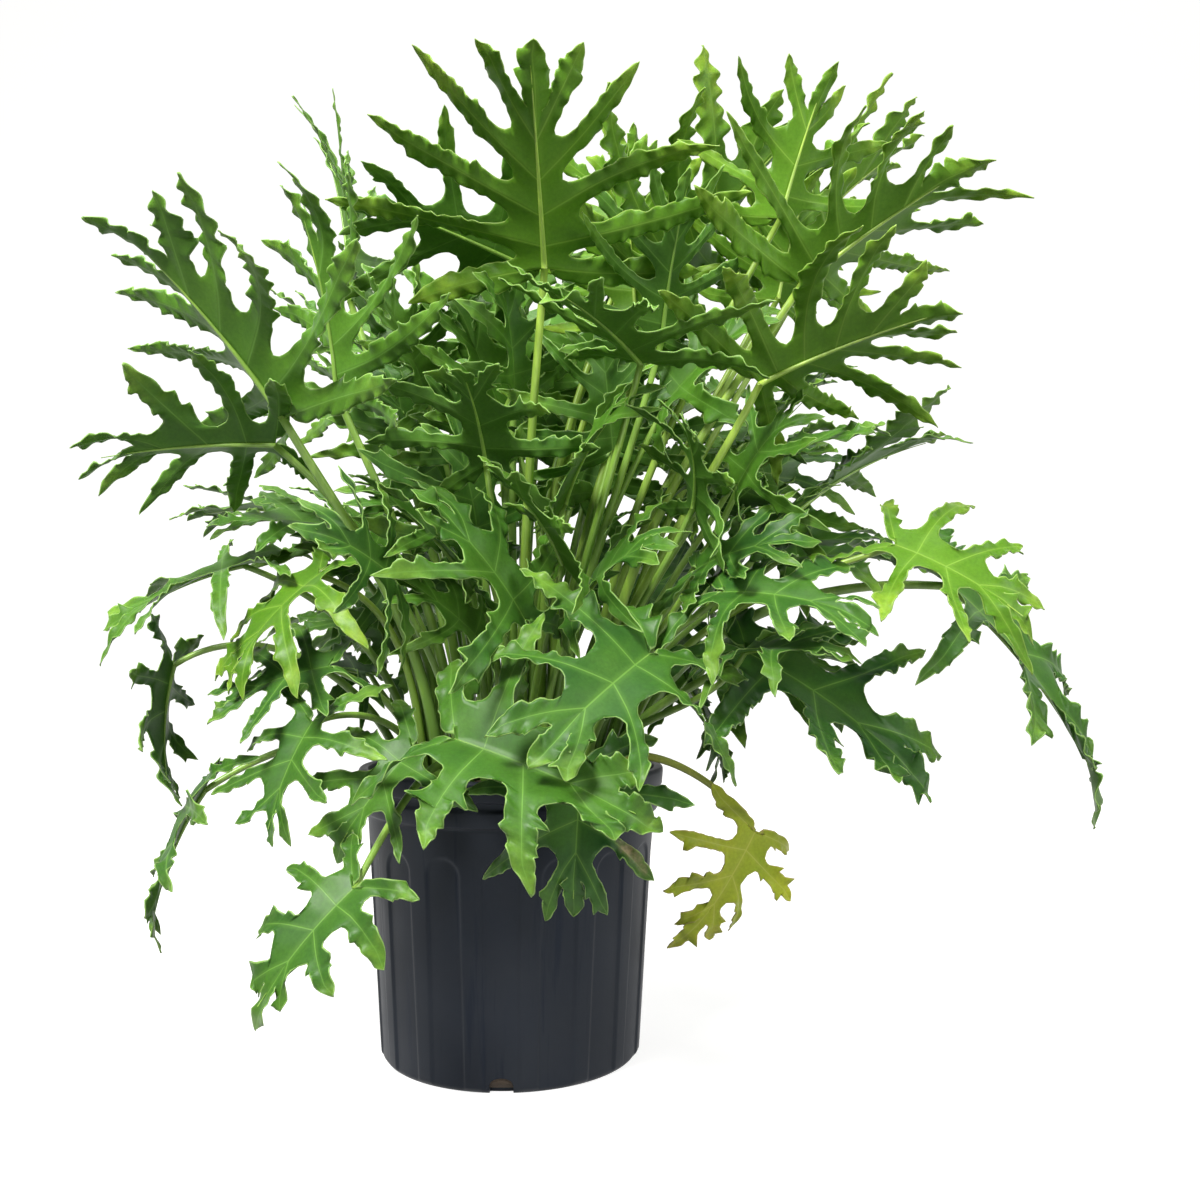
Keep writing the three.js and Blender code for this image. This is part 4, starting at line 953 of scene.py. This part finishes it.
# rings run from the crown's middle out to the wall, down it and in under the block
def makeSoil():
    form = soilForm
    top, bottom = form["topRings"], potForm["floor"] + form["gap"]
    rings = np.linspace(0, 1, top) ** 0.8
    rings = join([rings, np.ones(form["sideRings"] + 1), [0.5, 0.0]])[:, None]
    turn = np.linspace(0, 2 * np.pi, form["around"], endpoint=False)[None, :]
    side = np.linspace(form["top"] - 4, bottom + 5, form["sideRings"])
    sideZ = join([np.full(top, form["top"]), side, np.full(3, bottom)])[:, None]
    reach = rings * (innerRadius(sideZ) - form["gap"] - np.where(sideZ < bottom + 1, form["chamfer"], 0))
    x, y = reach * np.cos(turn), reach * np.sin(turn)
    isTop = (np.arange(len(rings)) < top)[:, None]
    z = np.where(isTop, soilHeight(x, y), sideZ + 0 * x)
    points = stacked(x, y, z).reshape(-1, 3)
    kept, faces = weld(points, gridFaces(len(rings), turn.size, wrapped=True))
    soil = makePiece("potting_mix", points[kept], faces,
                     [soilMaterial("mixDark", (0.010, 0.008, 0.006), (0.035, 0.024, 0.016), 160)])
    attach(soil, "root")
    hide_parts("soil")
    # bits: small boxes with uneven corners, turned at random and half sunk in
    draw = np.random.default_rng(form["seed"])
    n = form["bits"]
    far = np.sqrt(draw.uniform(0, 1, n)) * (innerRadius(form["top"]) - form["gap"] - 5)
    angle = draw.uniform(0, 2 * np.pi, n)
    size = form["bitSize"][0] + np.diff(form["bitSize"]) * draw.uniform(0, 1, n) ** 3
    corners = np.array([[a, b, c] for a in (-1, 1) for b in (-1, 1) for c in (-1, 1)]) * 0.5
    uneven = draw.uniform(*form["uneven"], (n, 8, 3))
    shape = corners[None] * uneven * np.array(form["bitShape"]) * size[:, None, None]
    yaw, pitch = draw.uniform(0, 360, n), draw.uniform(-form["tilt"], form["tilt"], n)
    shape = np.einsum("nij,nkj->nki", turns(yaw, pitch, pitch[::-1]), shape)
    x, y = far * np.cos(angle), far * np.sin(angle)
    places = stacked(x, y, soilHeight(x, y) + form["rise"] * size)
    box = np.array([[0, 1, 3], [0, 3, 2], [4, 7, 5], [4, 6, 7], [0, 5, 1], [0, 4, 5],
                    [2, 3, 7], [2, 7, 6], [0, 2, 6], [0, 6, 4], [1, 5, 7], [1, 7, 3]])
    points = (shape + places[:, None]).reshape(-1, 3)
    faces = (box[None] + 8 * np.arange(n)[:, None, None]).reshape(-1, 3)
    bark = soilMaterial("barkBits", (0.022, 0.013, 0.008), (0.085, 0.050, 0.028), 90)
    bits = makePiece("bark_bits", points, faces, [bark], flat=True)
    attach(bits, "root")


makeSoil()
print("soil made")


# floor, light and camera

studio = dict(width=16000.0, front=-6000.0, bend=2500.0, radius=1500.0, top=6000.0,  # backdrop, mm
              glow=0.78, daylight=0.29, lens=36, sensor=36, tilt=91.6)
lamps = {  # place and target in m, size in m, power in W
    "key": ((-1.0, -1.5, 2.3), (0.03, -0.05, 0.4), 0.8, 112),
    "fill": ((1.7, -1.2, 1.2), (0.05, 0, 0.4), 1.0, 22),
    "top": ((0.2, 0.1, 2.5), (0.05, 0, 0.5), 1.5, 36),
}


# the floor runs flat, then bends up into a backdrop: a profile carried along X
def makeSweep():
    material, tree = newMaterial("paper")
    grain = noise(tree, 30, 3)
    colour = mixColour(tree, grain, (0.50, 0.49, 0.47, 1), (0.53, 0.52, 0.50, 1))
    finishMaterial(tree, {"Base Color": colour, "Roughness": 0.9, "Specular IOR Level": 0.0,
                          "Emission Color": (1, 1, 1, 1), "Emission Strength": studio["glow"]})
    turn, bend, radius = np.linspace(0, np.pi / 2, 16), studio["bend"], studio["radius"]
    y = join([[studio["front"]], bend + radius * np.sin(turn), [bend + radius]])
    z = join([[0], radius - radius * np.cos(turn), [studio["top"]]])
    x = np.array([-0.5, 0.5]) * studio["width"]
    y, z = y[:, None] + 0 * x, z[:, None] + 0 * x
    points = stacked(x + 0 * y, y, z).reshape(-1, 3)
    sweep = makePiece("sweep", points, gridFaces(len(y), len(x))[:, ::-1], [material])
    sweep.visible_diffuse = False


makeSweep()
for name, (place, target, size, power) in lamps.items():
    data = bpy.data.lights.new(name, "AREA")
    data.shape, data.size, data.energy = "DISK", size, power
    lamp = newObject(name, data)
    lamp.location = place
    lamp.rotation_euler = (Vector(target) - Vector(place)).to_track_quat("-Z", "Y").to_euler()
world = bpy.data.worlds.new("studio")
bpy.context.scene.world = world
world.use_nodes = True
background = world.node_tree.nodes["Background"].inputs
background["Color"].default_value, background["Strength"].default_value = (1, 1, 1, 1), studio["daylight"]
bpy.context.scene.view_settings.view_transform = "Standard"

cameraData = bpy.data.cameras.new("camera")
cameraData.lens, cameraData.sensor_width = studio["lens"], studio["sensor"]
camera = newObject("camera", cameraData)
camera.location = Vector(leafForm["eye"]) * 0.001
camera.rotation_euler = (np.radians(studio["tilt"]), 0, 0)
bpy.context.scene.camera = camera
